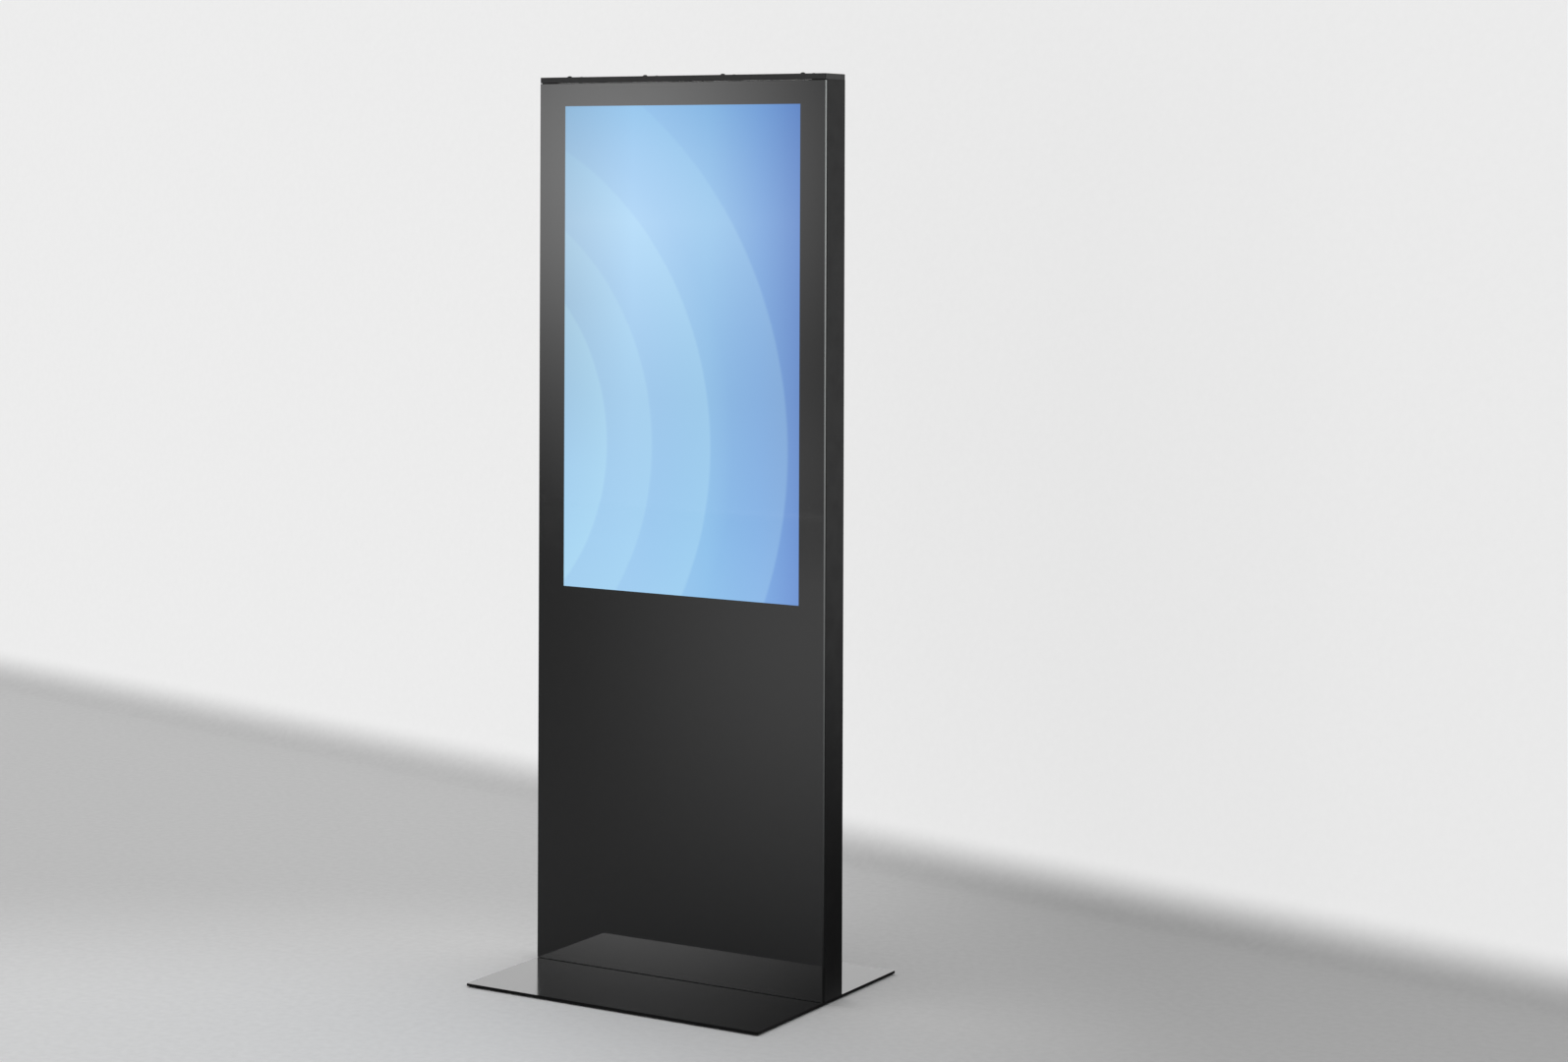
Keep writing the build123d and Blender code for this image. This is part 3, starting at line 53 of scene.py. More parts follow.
mm = 0.001
tau = 2 * math.pi
upward, backward = Vector((0, 0, 1)), Vector((0, 1, 0))
picture_width, picture_height = 529.4 * mm, 941.2 * mm  # lit area of a 43 inch panel

# ---------------------------------------------------------------- node trees


def linear(red, green, blue):
    """Display colour, 0 to 255, as scene-linear colour with alpha."""
    channels = [c / 255 for c in (red, green, blue)]
    return (*[c / 12.92 if c <= 0.04045 else ((c + 0.055) / 1.055) ** 2.4 for c in channels], 1)


class Tree:
    """A node tree with short ways to add nodes and join them. Values can be numbers or sockets."""

    def __init__(self, owner):
        owner.use_nodes = True
        self.tree = owner.node_tree
        self.tree.nodes.clear()

    def put(self, socket, value):
        if isinstance(value, bpy.types.NodeSocket):
            self.tree.links.new(value, socket)
        else:
            socket.default_value = value

    def add(self, kind, inputs=None, **settings):
        node = self.tree.nodes.new(kind)
        for key, value in settings.items():
            setattr(node, key, value)
        for key, value in (inputs or {}).items():
            self.put(node.inputs[key], value)
        return node

    def math(self, operation, *values, clamp=False):
        node = self.add("ShaderNodeMath", operation=operation, use_clamp=clamp)
        for socket, value in zip(node.inputs, values):
            self.put(socket, value)
        return node.outputs[0]

    def remap(self, value, low, high, to_low=0.0, to_high=1.0, smooth=False):
        """Maps value from low..high to to_low..to_high, held at both ends."""
        node = self.add("ShaderNodeMapRange", interpolation_type="SMOOTHSTEP" if smooth else "LINEAR")
        for socket, v in zip(node.inputs, (value, low, high, to_low, to_high)):
            self.put(socket, v)
        return node.outputs[0]

    def mix(self, factor, first, second, blend="MIX"):
        node = self.add("ShaderNodeMix", data_type="RGBA", blend_type=blend)
        self.put(node.inputs["Factor"], factor)
        self.put(node.inputs["A"], first)
        self.put(node.inputs["B"], second)
        return node.outputs["Result"]

    def product(self, first, *others):
        for other in others:
            first = self.math("MULTIPLY", first, other)
        return first

    def split(self, vector):
        """The x, y and z of a vector."""
        return self.add("ShaderNodeSeparateXYZ", {"Vector": vector}).outputs

    def joined(self, *channels):
        """A colour or vector from three values."""
        return self.add("ShaderNodeCombineXYZ", dict(enumerate(channels))).outputs[0]

    def place(self):
        """Where the point is on its own body, in metres."""
        return self.add("ShaderNodeTexCoord").outputs["Object"]

    def geometry(self, output):
        return self.add("ShaderNodeNewGeometry").outputs[output]

    def noise(self, scale, detail=3.0, roughness=0.55, stretch=None):
        vector = self.place()
        if stretch:
            vector = self.add("ShaderNodeMapping", {"Vector": vector, "Scale": stretch}).outputs[0]
        inputs = {"Vector": vector, "Scale": scale, "Detail": detail, "Roughness": roughness}
        return self.add("ShaderNodeTexNoise", inputs).outputs["Fac"]

    def cells(self, scale, feature="F1"):
        inputs = {"Vector": self.place(), "Scale": scale}
        return self.add("ShaderNodeTexVoronoi", inputs, feature=feature).outputs["Distance"]

    def bump(self, height, distance, strength=1.0):
        """A normal bent by a height of 0 to 1 that stands for the given distance in metres."""
        inputs = {"Height": height, "Distance": distance, "Strength": strength}
        return self.add("ShaderNodeBump", inputs).outputs[0]

    def shader(self, kind, inputs=None):
        return self.add("ShaderNode" + kind, inputs).outputs[0]

    def shader_mix(self, factor, first, second):
        """The first shader where factor is 0 and the second where it is 1."""
        return self.shader("MixShader", {0: factor, 1: first, 2: second})

    def shader_sum(self, first, second):
        return self.shader("AddShader", {0: first, 1: second})

    def out(self, shader, kind="ShaderNodeOutputMaterial"):
        self.tree.links.new(shader, self.add(kind).inputs["Surface"])


def surface(name, settings):
    """A new material whose one principled shader takes what settings(tree) returns."""
    material = bpy.data.materials.new(name)
    tree = Tree(material)
    tree.out(tree.shader("BsdfPrincipled", settings(tree)))
    return material


# ---------------------------------------------------------------- materials


def powder_coat(grey, specular):
    """Fine orange-peel black coat with faint dust lying on it."""

    def settings(t):
        peel = t.math("ADD", t.noise(700, 2), t.product(t.noise(2200, 1), 0.5))
        dust = t.remap(t.noise(9, 5, 0.65), 0.52, 0.78, 0, 0.16)
        return {
            "Base Color": t.mix(dust, (grey, grey, grey * 1.03, 1), (grey * 3, grey * 2.9, grey * 2.8, 1)),
            "Roughness": t.remap(t.noise(26, 4), 0.3, 0.7, 0.36, 0.46),
            "Specular IOR Level": specular,
            "Normal": t.bump(peel, 0.00004),
        }

    return settings


def gloss_plate(t):
    """Polished black lacquer over steel, with smudges that dull it in places. The cut edges are left matt."""
    smudge = t.remap(t.noise(7, 6, 0.7), 0.45, 0.8, 0, 1)
    specks = t.remap(t.noise(900, 1), 0.74, 0.8, 0, 0.2)
    top = t.math("GREATER_THAN", t.split(t.geometry("True Normal"))[2], 0.9)
    gloss = t.math("MULTIPLY_ADD", smudge, 0.04, 0.13)
    return {
        "Base Color": t.mix(specks, (0.004, 0.004, 0.0042, 1), (0.05, 0.05, 0.049, 1)),
        "Roughness": t.math("ADD", gloss, t.product(t.math("SUBTRACT", 1, top), 0.4)),
        "IOR": 1.65,
        "Specular IOR Level": t.math("MULTIPLY_ADD", top, 0.42, 0.08),
        "Coat Weight": top,
        "Coat Roughness": t.math("MULTIPLY_ADD", smudge, 0.03, 0.075),
        "Coat IOR": 1.5,
        "Normal": t.bump(t.noise(5, 1), 0.0004, 0.5),
    }


def anodised(t):
    """Satin black anodising with the faint lines of extrusion."""
    lines = t.noise(90, 3, 0.6, stretch=(9, 9, 0.2))
    return {
        "Base Color": t.mix(lines, (0.012, 0.012, 0.013, 1), (0.022, 0.022, 0.024, 1)),
        "Roughness": t.remap(lines, 0.3, 0.7, 0.34, 0.44),
        "Specular IOR Level": 0.4,
        "Normal": t.bump(lines, 0.00003),
    }


def zinc(t):
    """Bright zinc plate, clouded and slightly brushed."""
    cloud = t.noise(38, 4)
    brushed = t.noise(160, 3, 0.6, stretch=(0.25, 1, 1))
    return {
        "Base Color": t.mix(cloud, (0.42, 0.42, 0.43, 1), (0.62, 0.62, 0.6, 1)),
        "Metallic": 1.0,
        "Roughness": t.remap(cloud, 0.3, 0.7, 0.26, 0.42),
        "Normal": t.bump(brushed, 0.00003),
    }


def black_oxide(t):
    """Oiled black steel screws, rubbed a little brighter on their high spots."""
    worn = t.remap(t.noise(420, 3), 0.6, 0.8, 0, 0.5)
    return {
        "Base Color": t.mix(worn, (0.014, 0.014, 0.015, 1), (0.1, 0.1, 0.1, 1)),
        "Metallic": 0.85,
        "Roughness": t.remap(t.noise(200, 2), 0.3, 0.7, 0.3, 0.45),
    }


def nickel(t):
    wear = t.noise(260, 4)
    return {
        "Base Color": t.mix(wear, (0.6, 0.59, 0.56, 1), (0.75, 0.74, 0.7, 1)),
        "Metallic": 1.0,
        "Roughness": t.remap(wear, 0.3, 0.7, 0.12, 0.24),
    }


def rubber(t):
    grain = t.noise(800, 3)
    return {
        "Base Color": t.mix(t.noise(30, 3), (0.012, 0.012, 0.012, 1), (0.026, 0.026, 0.025, 1)),
        "Roughness": t.remap(grain, 0.3, 0.7, 0.6, 0.78),
        "Normal": t.bump(grain, 0.00008),
    }


def foam(t):
    """Closed-cell foam with visible cells."""
    cell = t.cells(900)
    return {
        "Base Color": t.mix(cell, (0.03, 0.03, 0.031, 1), (0.009, 0.009, 0.009, 1)),
        "Roughness": 0.92,
        "Normal": t.bump(cell, 0.0003),
    }


def plastic(dark, light):
    """Moulded plastic with a fine spark-eroded grain."""

    def settings(t):
        grain = t.noise(1400, 2)
        return {
            "Base Color": t.mix(t.noise(45, 3), (*dark, 1), (*light, 1)),
            "Roughness": t.remap(grain, 0.3, 0.7, 0.42, 0.56),
            "Specular IOR Level": 0.4,
            "Normal": t.bump(grain, 0.00005),
        }

    return settings


def solder_mask(t):
    """Green board with lighter copper tracks under the mask."""
    track = t.remap(t.cells(160, feature="DISTANCE_TO_EDGE"), 0.03, 0.06, 1, 0)
    return {
        "Base Color": t.mix(track, (0.006, 0.045, 0.018, 1), (0.02, 0.12, 0.05, 1)),
        "Roughness": t.remap(t.noise(300, 2), 0.3, 0.7, 0.22, 0.34),
        "Normal": t.bump(track, 0.00005),
    }


def cable_jacket(t):
    grain = t.noise(600, 2)
    return {
        "Base Color": t.mix(t.noise(60, 3), (0.012, 0.012, 0.013, 1), (0.024, 0.024, 0.025, 1)),
        "Roughness": t.remap(grain, 0.3, 0.7, 0.38, 0.5),
        "Normal": t.bump(grain, 0.00005),
    }


def filter_fibre(t):
    """Open-cell filter mat with caught dust."""
    cell = t.cells(420)
    fibre = t.mix(cell, (0.05, 0.05, 0.053, 1), (0.012, 0.012, 0.013, 1))
    dust = t.remap(t.noise(22, 5), 0.45, 0.75, 0, 0.35)
    return {
        "Base Color": t.mix(dust, fibre, (0.09, 0.085, 0.08, 1)),
        "Roughness": 0.95,
        "Normal": t.bump(cell, 0.0008),
    }


def enamel(t):
    """Colour of the black enamel on the back of the glass."""
    return t.mix(t.noise(60, 4), (0.0035, 0.0035, 0.0037, 1), (0.0055, 0.0055, 0.0057, 1))


def print_black(t):
    """Black enamel fired on the back of the glass. The glass is its gloss, so it has none of its own."""
    return {"Base Color": enamel(t), "Roughness": 0.6, "Specular IOR Level": 0.0}


def ground_glass(t, colour, **more):
    """A ground edge, which scatters light."""
    grain = t.noise(1500, 2)
    look = {
        "Base Color": colour,
        "Roughness": t.remap(grain, 0.3, 0.7, 0.25, 0.4),
        "Normal": t.bump(grain, 0.00004),
        **more,
    }
    return t.shader("BsdfPrincipled", look)


def sensor_material():
    """Clear sheet. Its broad faces mirror the room by viewing angle and its ground edges scatter light."""
    reflect = 0.12
    material = bpy.data.materials.new("sensor_glass")
    t = Tree(material)
    wave = t.bump(t.noise(2.5, 1), 0.0002, 0.4)
    smudge = t.remap(t.noise(11, 6, 0.7), 0.5, 0.8, 0, 1)
    rough = t.math("MULTIPLY_ADD", smudge, 0.05, 0.012)
    clear = t.shader("BsdfTransparent", {"Color": (0.99, 0.995, 0.995, 1)})
    gloss = t.shader("BsdfGlossy", {"Color": (1, 1, 1, 1), "Roughness": rough, "Normal": wave})
    fresnel = t.add("ShaderNodeFresnel", {"IOR": 1.5, "Normal": wave}).outputs[0]
    front_share = t.math("MULTIPLY_ADD", t.geometry("Backfacing"), -reflect, reflect)
    faces = t.shader_mix(t.product(fresnel, front_share), clear, gloss)
    edge = ground_glass(t, t.mix(t.noise(35, 3), (0.12, 0.13, 0.13, 1), (0.138, 0.1495, 0.1495, 1)))
    across = t.math("ABSOLUTE", t.split(t.geometry("True Normal"))[1])
    t.out(t.shader_mix(t.math("GREATER_THAN", across, 0.9), edge, faces))
    return material


def picture(t, depth):
    """The lit picture seen a given depth behind the shaded surface, and a mask that is 1 inside it.

    It's a plain blue ground with soft rings that spread from a point left of the screen.
    """
    low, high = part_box("display_bezel")
    centre = (low + high) / 2
    width, height = picture_width, picture_height
    x, _, z = t.split(t.place())
    towards_x, towards_y, towards_z = t.split(t.geometry("Incoming"))
    x = t.math("MULTIPLY_ADD", t.math("DIVIDE", towards_x, towards_y), depth, x)
    z = t.math("MULTIPLY_ADD", t.math("DIVIDE", towards_z, towards_y), depth, z)
    u = t.remap(x, centre.x - width / 2, centre.x + width / 2)
    v = t.remap(z, centre.z + height / 2, centre.z - height / 2)

    ramp = t.add("ShaderNodeValToRGB", {"Fac": u})
    stops = [
        (0.0, (176, 207, 233)),
        (0.3, (170, 203, 233)),
        (0.62, (150, 191, 227)),
        (0.84, (128, 167, 218)),
        (1.0, (110, 143, 203)),
    ]
    while len(ramp.color_ramp.elements) < len(stops):
        ramp.color_ramp.elements.new(0.5)
    for element, (position, colour) in zip(ramp.color_ramp.elements, stops):
        element.position = position
        element.color = linear(*colour)
    image = ramp.outputs["Color"]

    # Shares of the picture's height, down and to the left of its top left corner.
    rings_left, rings_down = 0.34, 0.7
    from_x = t.math("MULTIPLY_ADD", u, width / height, rings_left)
    from_y = t.math("SUBTRACT", v, rings_down)
    from_point = t.math("SQRT", t.math("ADD", t.math("POWER", from_x, 2), t.math("POWER", from_y, 2)))
    for radius, amount in ((0.45, 0.45), (0.56, 0.3), (0.7, 0.3), (0.88, 0.22)):
        inside = t.math("SUBTRACT", radius, from_point)
        rim = t.product(t.remap(inside, 0.0, 0.008, smooth=True), t.remap(inside, 0.0, 0.13, amount, 0))
        image = t.mix(rim, image, linear(196, 229, 242))

    left = t.product(t.remap(u, 0.0, 0.3, 0.2, 0), t.remap(v, 0.4, 0.75, 1, 0))
    level = t.product(t.math("SUBTRACT", 1, left), t.remap(v, 0.6, 0.9, 1, 1.1))
    tint = [
        t.product(level, t.remap(v, 0.0, 0.24, share * at_top, share))
        for share, at_top in ((0.78, 0.5), (0.93, 0.74), (1.0, 0.88))
    ]
    image = t.mix(1.0, image, t.joined(*tint), "MULTIPLY")

    across = t.math("ABSOLUTE", t.math("SUBTRACT", x, centre.x))
    along = t.math("ABSOLUTE", t.math("SUBTRACT", z, centre.z))
    lit = t.product(t.math("LESS_THAN", across, width / 2), t.math("LESS_THAN", along, height / 2))
    return image, lit


def front_glass_material():
    """Polished front glass over the black print and the lit picture, with ground edges whose colour holds
    painted light and shade.

    The print and the display are bonded to the glass, so its front face shows what lies behind it.
    """
    material = bpy.data.materials.new("front_sheet_glass")
    t = Tree(material)
    smudge = t.remap(t.noise(9, 6, 0.7), 0.5, 0.85, 0, 1)
    print_depth = 4.5 * mm
    image, lit = picture(t, print_depth)
    _, ny, nz = t.split(t.geometry("True Normal"))
    sheet_look = {
        "Base Color": enamel(t),
        "Roughness": t.math("MULTIPLY_ADD", smudge, 0.07, 0.03),
        "IOR": 1.52,
        "Normal": t.bump(t.noise(2.5, 1), 0.0002, 0.3),
        "Emission Color": image,
        "Emission Strength": t.product(lit, 0.94),
    }
    sheet = t.shader("BsdfPrincipled", sheet_look)

    # Painted light and shade in the edges' colour: it grows lighter with height, faces that look up are painted
    # nearly dark and faces that look down a fixed dim grey.
    low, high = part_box("front_glass")
    rise = t.math("SUBTRACT", t.split(t.place())[2], low.z)
    up_side = t.math("SUBTRACT", 1, t.product(t.math("ABSOLUTE", nz), 1.3), clamp=True)
    painted_rise = t.math("POWER", t.remap(rise, 0.05, 0.84 * (high.z - low.z), 0.03, 1), 1.15)
    painted_light_below = t.product(t.math("LESS_THAN", nz, -0.5), 0.35)
    light = t.math("MAXIMUM", t.product(painted_rise, up_side), painted_light_below)
    ground = t.mix(t.noise(35, 3), (0.42, 0.44, 0.435, 1), (0.5, 0.52, 0.51, 1))
    # The edge colour runs from nearly black to ground grey by this painted light.
    colour = t.mix(light, (0.006, 0.006, 0.006, 1), ground)
    edge = ground_glass(t, colour, **{"Specular IOR Level": t.product(light, 0.5)})
    t.out(t.shader_mix(t.math("LESS_THAN", ny, -0.9), edge, sheet))
    return material


def screen_material():
    """The panel itself, lit on its front face."""
    material = bpy.data.materials.new("lit_picture")
    t = Tree(material)
    image, lit = picture(t, 0.0)
    front = t.math("LESS_THAN", t.split(t.geometry("Normal"))[1], -0.5)
    panel = {
        "Base Color": t.mix(t.noise(40, 3), (0.008, 0.008, 0.009, 1), (0.014, 0.014, 0.015, 1)),
        "Roughness": 0.35,
        "Emission Color": image,
        "Emission Strength": t.product(lit, front, 0.96),
    }
    t.out(t.shader("BsdfPrincipled", panel))
    return material


looks = {
    "powder_coat_black": surface("powder_coat_black", powder_coat(0.0105, 0.18)),
    "gloss_black_plate": surface("gloss_black_plate", gloss_plate),
    "zinc_steel": surface("zinc_steel", zinc),
    "black_steel_screw": surface("black_oxide_screws", black_oxide),
    "nickel_lock": surface("nickel_plate", nickel),
    "clear_glass": front_glass_material(),
    "black_print": surface("fired_black_print", print_black),
    "touch_glass": sensor_material(),
    "screen": screen_material(),
    "black_foam": surface("closed_cell_foam", foam),
    "black_rubber": surface("moulded_rubber", rubber),
    "black_plastic": surface("black_moulding", plastic((0.012, 0.012, 0.013), (0.022, 0.022, 0.023))),
    "fan_plastic": surface("fan_moulding", plastic((0.016, 0.016, 0.017), (0.028, 0.028, 0.03))),
    "circuit_board": surface("solder_mask", solder_mask),
    "filter_foam": surface("filter_fibre", filter_fibre),
    "player_case": surface("anodised_case", anodised),
    "cable_jacket": surface("cable_jacket", cable_jacket),
    "grey_plastic": surface("grey_moulding", plastic((0.32, 0.32, 0.32), (0.42, 0.42, 0.41))),
}

cap_look = surface("powder_coat_cap", powder_coat(0.011, 0.5))
edge_softness = 0.3 * mm
slots = {s["node"]: s["material_slot"] for s in frame["record"]["subparts"]}
for name, node in nodes.items():
    node.data.materials.clear()
    node.data.materials.append(cap_look if name == "top_cap" else looks[slots[name]])
    bevel = node.modifiers.new("soft_edges", "BEVEL")
    bevel.width = edge_softness
    bevel.segments = 2
    bevel.limit_method = "ANGLE"
    bevel.angle_limit = math.radians(40)
    bevel.harden_normals = False

# ---------------------------------------------------------------- shape helpers


def new_object(name, data):
    obj = bpy.data.objects.new(name, data)
    bpy.context.scene.collection.objects.link(obj)
    return obj


def piece(name, shape, look, body):
    """Makes a bmesh a piece of the object that rides on a CAD body."""
    bmesh.ops.recalc_face_normals(shape, faces=shape.faces)
    mesh = bpy.data.meshes.new(name)
    shape.to_mesh(mesh)
    shape.free()
    for polygon in mesh.polygons:
        polygon.use_smooth = True
    mesh.set_sharp_from_angle(angle=math.radians(38))
    mesh.materials.append(look)
    obj = new_object(name, mesh)
    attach(obj, body)
    return obj


def loft(shape, rings, closed=False):
    """Skin over rings of points. Open lofts get a face at each end."""
    rows = [[shape.verts.new(point) for point in ring] for ring in rings]
    pairs = list(zip(rows, rows[1:]))
    if closed:
        pairs.append((rows[-1], rows[0]))
    for low, high in pairs:
        for here in range(len(low)):
            after = (here + 1) % len(low)
            shape.faces.new((low[here], low[after], high[after], high[here]))
    if not closed:
        shape.faces.new(rows[0])
        shape.faces.new(rows[-1])


def closed_sheet(shape, columns, rows, *sides):
    """Two grids of points joined round their rims. Each side gives a point from its shares across and up."""
    rims = []
    for side in sides:
        grid = [
            [shape.verts.new(side(column / columns, row / rows)) for column in range(columns + 1)]
            for row in range(rows + 1)
        ]
        for low, high in zip(grid, grid[1:]):
            for here in range(columns):
                shape.faces.new((low[here], low[here + 1], high[here + 1], high[here]))
        right_and_below = grid[0][:-1] + [line[-1] for line in grid[:-1]]
        left_and_above = grid[-1][:0:-1] + [line[0] for line in grid[:0:-1]]
        rims.append(right_and_below + left_and_above)
    first, second = rims
    for here in range(len(first)):
        after = (here + 1) % len(first)
        shape.faces.new((first[here], second[here], second[after], first[after]))


def rounded(width, height, radius, steps=4):
    """A rectangle with round corners about the origin, as (across, up) points."""
    points = []
    for corner, (side, top) in enumerate(((1, 1), (-1, 1), (-1, -1), (1, -1))):
        middle = (side * (width / 2 - radius), top * (height / 2 - radius))
        for step in range(steps + 1):
            angle = math.pi / 2 * (corner + step / steps)
            points.append((middle[0] + radius * math.cos(angle), middle[1] + radius * math.sin(angle)))
    return points


def circle(radius, steps=24):
    return [(radius * math.cos(tau * k / steps), radius * math.sin(tau * k / steps)) for k in range(steps)]


def frame_about(direction):
    """Two directions square to the given one and to each other."""
    direction = direction.normalized()
    aside = direction.cross(upward if abs(direction.z) < 0.9 else Vector((1, 0, 0))).normalized()
    return aside, direction.cross(aside)


def stack(shape, origin, direction, sections):
    """A loft of flat sections, each (height along direction, outline points)."""
    aside, over = frame_about(direction)
    along = direction.normalized()
    rings = [[origin + along * h + aside * a + over * b for a, b in outline] for h, outline in sections]
    loft(shape, rings)


def on_back(node, x, z):
    """The point and normal where a line from behind, at x and z, meets a CAD node."""
    mesh = nodes[node].data
    tree = BVHTree.FromPolygons([v.co for v in mesh.vertices], [p.vertices[:] for p in mesh.polygons])
    point, normal, _, _ = tree.ray_cast(Vector((x, 1, z)), -backward)
    return point, normal


def share_on_back(node, across, up):
    """The same, where x and z are shares of the way across and up the node's box."""
    low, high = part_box(node)
    return on_back(node, low.x + (high.x - low.x) * across, low.z + (high.z - low.z) * up)


def cuts(node, point, normal, widest=0.005):
    """Where a plane cuts a node's round cables, as (middle, radius) pairs."""
    shape = bmesh.new()
    shape.from_mesh(nodes[node].data)
    geometry = shape.verts[:] + shape.edges[:] + shape.faces[:]
    cut = bmesh.ops.bisect_plane(shape, geom=geometry, plane_co=point, plane_no=normal)["geom_cut"]
    loose = {v for v in cut if isinstance(v, bmesh.types.BMVert)}
    edges = [e for e in cut if isinstance(e, bmesh.types.BMEdge)]
    beside = {v: [] for v in loose}
    for edge in edges:
        first, second = edge.verts
        beside[first].append(second)
        beside[second].append(first)
    found = []
    while loose:
        group, reach = [], [min(loose, key=lambda v: tuple(v.co))]
        while reach:
            vert = reach.pop()
            if vert in loose:
                loose.discard(vert)
                group.append(vert.co.copy())
                reach += beside[vert]
        if len(group) < 8:
            continue
        middle = sum(group, Vector()) / len(group)
        spans = [(co - middle).length for co in group]
        if max(spans) < widest and min(spans) > 0.8 * max(spans):
            found.append((middle, max(spans)))
    shape.free()
    return sorted(found, key=lambda item: tuple(item[0]))


# ---------------------------------------------------------------- added detail


def foil(t):
    """Satin silver label stock with a rolled grain."""
    grain = t.noise(240, 3, 0.6, stretch=(0.2, 1, 1))
    return {
        "Base Color": t.mix(grain, (0.5, 0.5, 0.5, 1), (0.68, 0.68, 0.67, 1)),
        "Metallic": 0.8,
        "Roughness": t.remap(grain, 0.3, 0.7, 0.34, 0.5),
        "Normal": t.bump(grain, 0.00002),
    }


def brass(t):
    tarnish = t.noise(300, 4)
    return {
        "Base Color": t.mix(tarnish, (0.55, 0.38, 0.14, 1), (0.75, 0.58, 0.27, 1)),
        "Metallic": 1.0,
        "Roughness": t.remap(tarnish, 0.3, 0.7, 0.22, 0.38),
    }


def white_fill(t):
    grain = t.noise(900, 2)
    return {
        "Base Color": t.mix(grain, (0.62, 0.62, 0.6, 1), (0.78, 0.78, 0.76, 1)),
        "Roughness": t.remap(grain, 0.3, 0.7, 0.4, 0.55),
        "Normal": t.bump(grain, 0.00002),
    }


def lit_lens(red, green, blue):
    """A small lamp lens, brighter in the middle than at its rim."""

    def settings(t):
        facing = t.add("ShaderNodeLayerWeight", {"Blend": 0.4}).outputs["Facing"]
        cloud = t.remap(t.noise(700, 2), 0.3, 0.7, 0.85, 1)
        dim, bright = ((red * share, green * share, blue * share, 1) for share in (0.2, 0.3))
        return {
            "Base Color": t.mix(cloud, dim, bright),
            "Roughness": 0.18,
            "Emission Color": (red, green, blue, 1),
            "Emission Strength": t.product(cloud, t.remap(facing, 0.0, 0.9, 2.4, 0.5)),
        }

    return settings


foil_look = surface("silver_foil", foil)
brass_look = surface("spring_brass", brass)
white_look = surface("white_marking", white_fill)
green_look = surface("green_lamp", lit_lens(0.15, 1.0, 0.35))
blue_look = surface("blue_lamp", lit_lens(0.2, 0.5, 1.0))


def filter_pad():
    """Soft filter mat, pressed flat under its frame's bars and swelling into the openings between them."""
    low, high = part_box("filter_mat")
    width, height = high.x - low.x, high.z - low.z
    middle = (low + high) / 2
    columns, rows, bar = 6, 2, 4 * mm
    pitch_x, pitch_z = (width + bar) / columns, (height + bar) / rows
    swell, pinch, fuzz = 1.5 * mm, 0.5 * mm, 0.35 * mm
    rim_width, rim_fall, back_gap = 4 * mm, 1.6 * mm, 0.1 * mm

    def crown(offset, count, pitch):
        """1 in the middle of each opening and 0 under the bars."""
        place = (offset / pitch + count / 2) % 1.0
        return max(0.0, 1 - abs(2 * place - 1) ** 4)

    def front(across, up):
        x, z = low.x + width * across, low.z + height * up
        rise = crown(x - middle.x, columns, pitch_x) * crown(z - middle.z, rows, pitch_z)
        to_rim = min(x - low.x, high.x - x, z - low.z, high.z - z)
        rim = min(1.0, max(0.0, to_rim / rim_width))
        hair = noise.noise(Vector((x * 260, 0, z * 260))) + 0.5 * noise.noise(Vector((x * 700, 3, z * 700)))
        fall = rim_fall * (1 - rim) ** 2
        return x, low.y + pinch - (swell + pinch) * rise * rim + fall + fuzz * hair * rise, z

    def back(across, up):
        return low.x + width * across, high.y - back_gap, low.z + height * up

    shape = bmesh.new()
    closed_sheet(shape, 168, 50, front, back)
    pad = piece("filter_pad", shape, looks["filter_foam"], "door")
    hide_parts("filter_mat")


def door_seal_strip():
    """Closed-cell seal round the door opening: a strip with a crowned face and two beads along it."""
    low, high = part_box("door_seal")
    strip, thick, corner = 10 * mm, high.y - low.y, 7 * mm
    half, foot = strip / 2 - 0.1 * mm, 0.02 * mm
    section = []
    steps = 16
    for step in range(steps + 1):
        across = -1 + 2 * step / steps
        crown = 0.6 * (1 - across**4)
        bead = 0.22 * (math.cos(across * tau) - 1) * (1 - across**2)
        section.append((across * half, thick * (0.35 + crown + bead)))
    section += [(half, foot), (-half, foot)]
    centre = (low + high) / 2
    path = rounded(high.x - low.x - strip, high.z - low.z - strip, corner, 8)
    rings = []
    for here, (x, z) in enumerate(path):
        before, after = path[here - 1], path[(here + 1) % len(path)]
        along = Vector((after[0] - before[0], 0, after[1] - before[1])).normalized()
        outward = Vector((along.z, 0, -along.x))
        spot = Vector((centre.x + x, high.y, centre.z + z))
        rings.append([spot + outward * a - backward * b for a, b in section])
    shape = bmesh.new()
    loft(shape, rings, closed=True)
    strip_piece = piece("door_seal_strip", shape, looks["black_foam"], "door")
    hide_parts("door_seal")


def floor_treads():
    """Rubber pads under the base, with round grooves in their soles."""
    low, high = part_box("floor_pads")
    thick = high.z - low.z
    radius, edge, depth = 20 * mm, 0.5 * mm, 1 * mm
    first_groove, groove_pitch = 3 * mm, 4 * mm
    outline = [(radius, thick - 0.02 * mm), (radius, edge), (radius - edge, 0)]
    for groove in range(4):
        outer = radius - first_groove - groove_pitch * groove
        outline += [(outer, 0), (outer - 0.4 * mm, depth), (outer - 1.4 * mm, depth), (outer - 1.8 * mm, 0)]
    outline.append((1 * mm, 0))
    shape = bmesh.new()
    for x in (low.x + radius, 0, high.x - radius):
        for y in (low.y + radius, high.y - radius):
            loft(shape, [[(x + r * c, y + r * s, h) for c, s in circle(1, 48)] for r, h in outline])
    treads = piece("floor_treads", shape, looks["black_rubber"], "cabinet")
    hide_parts("floor_pads")


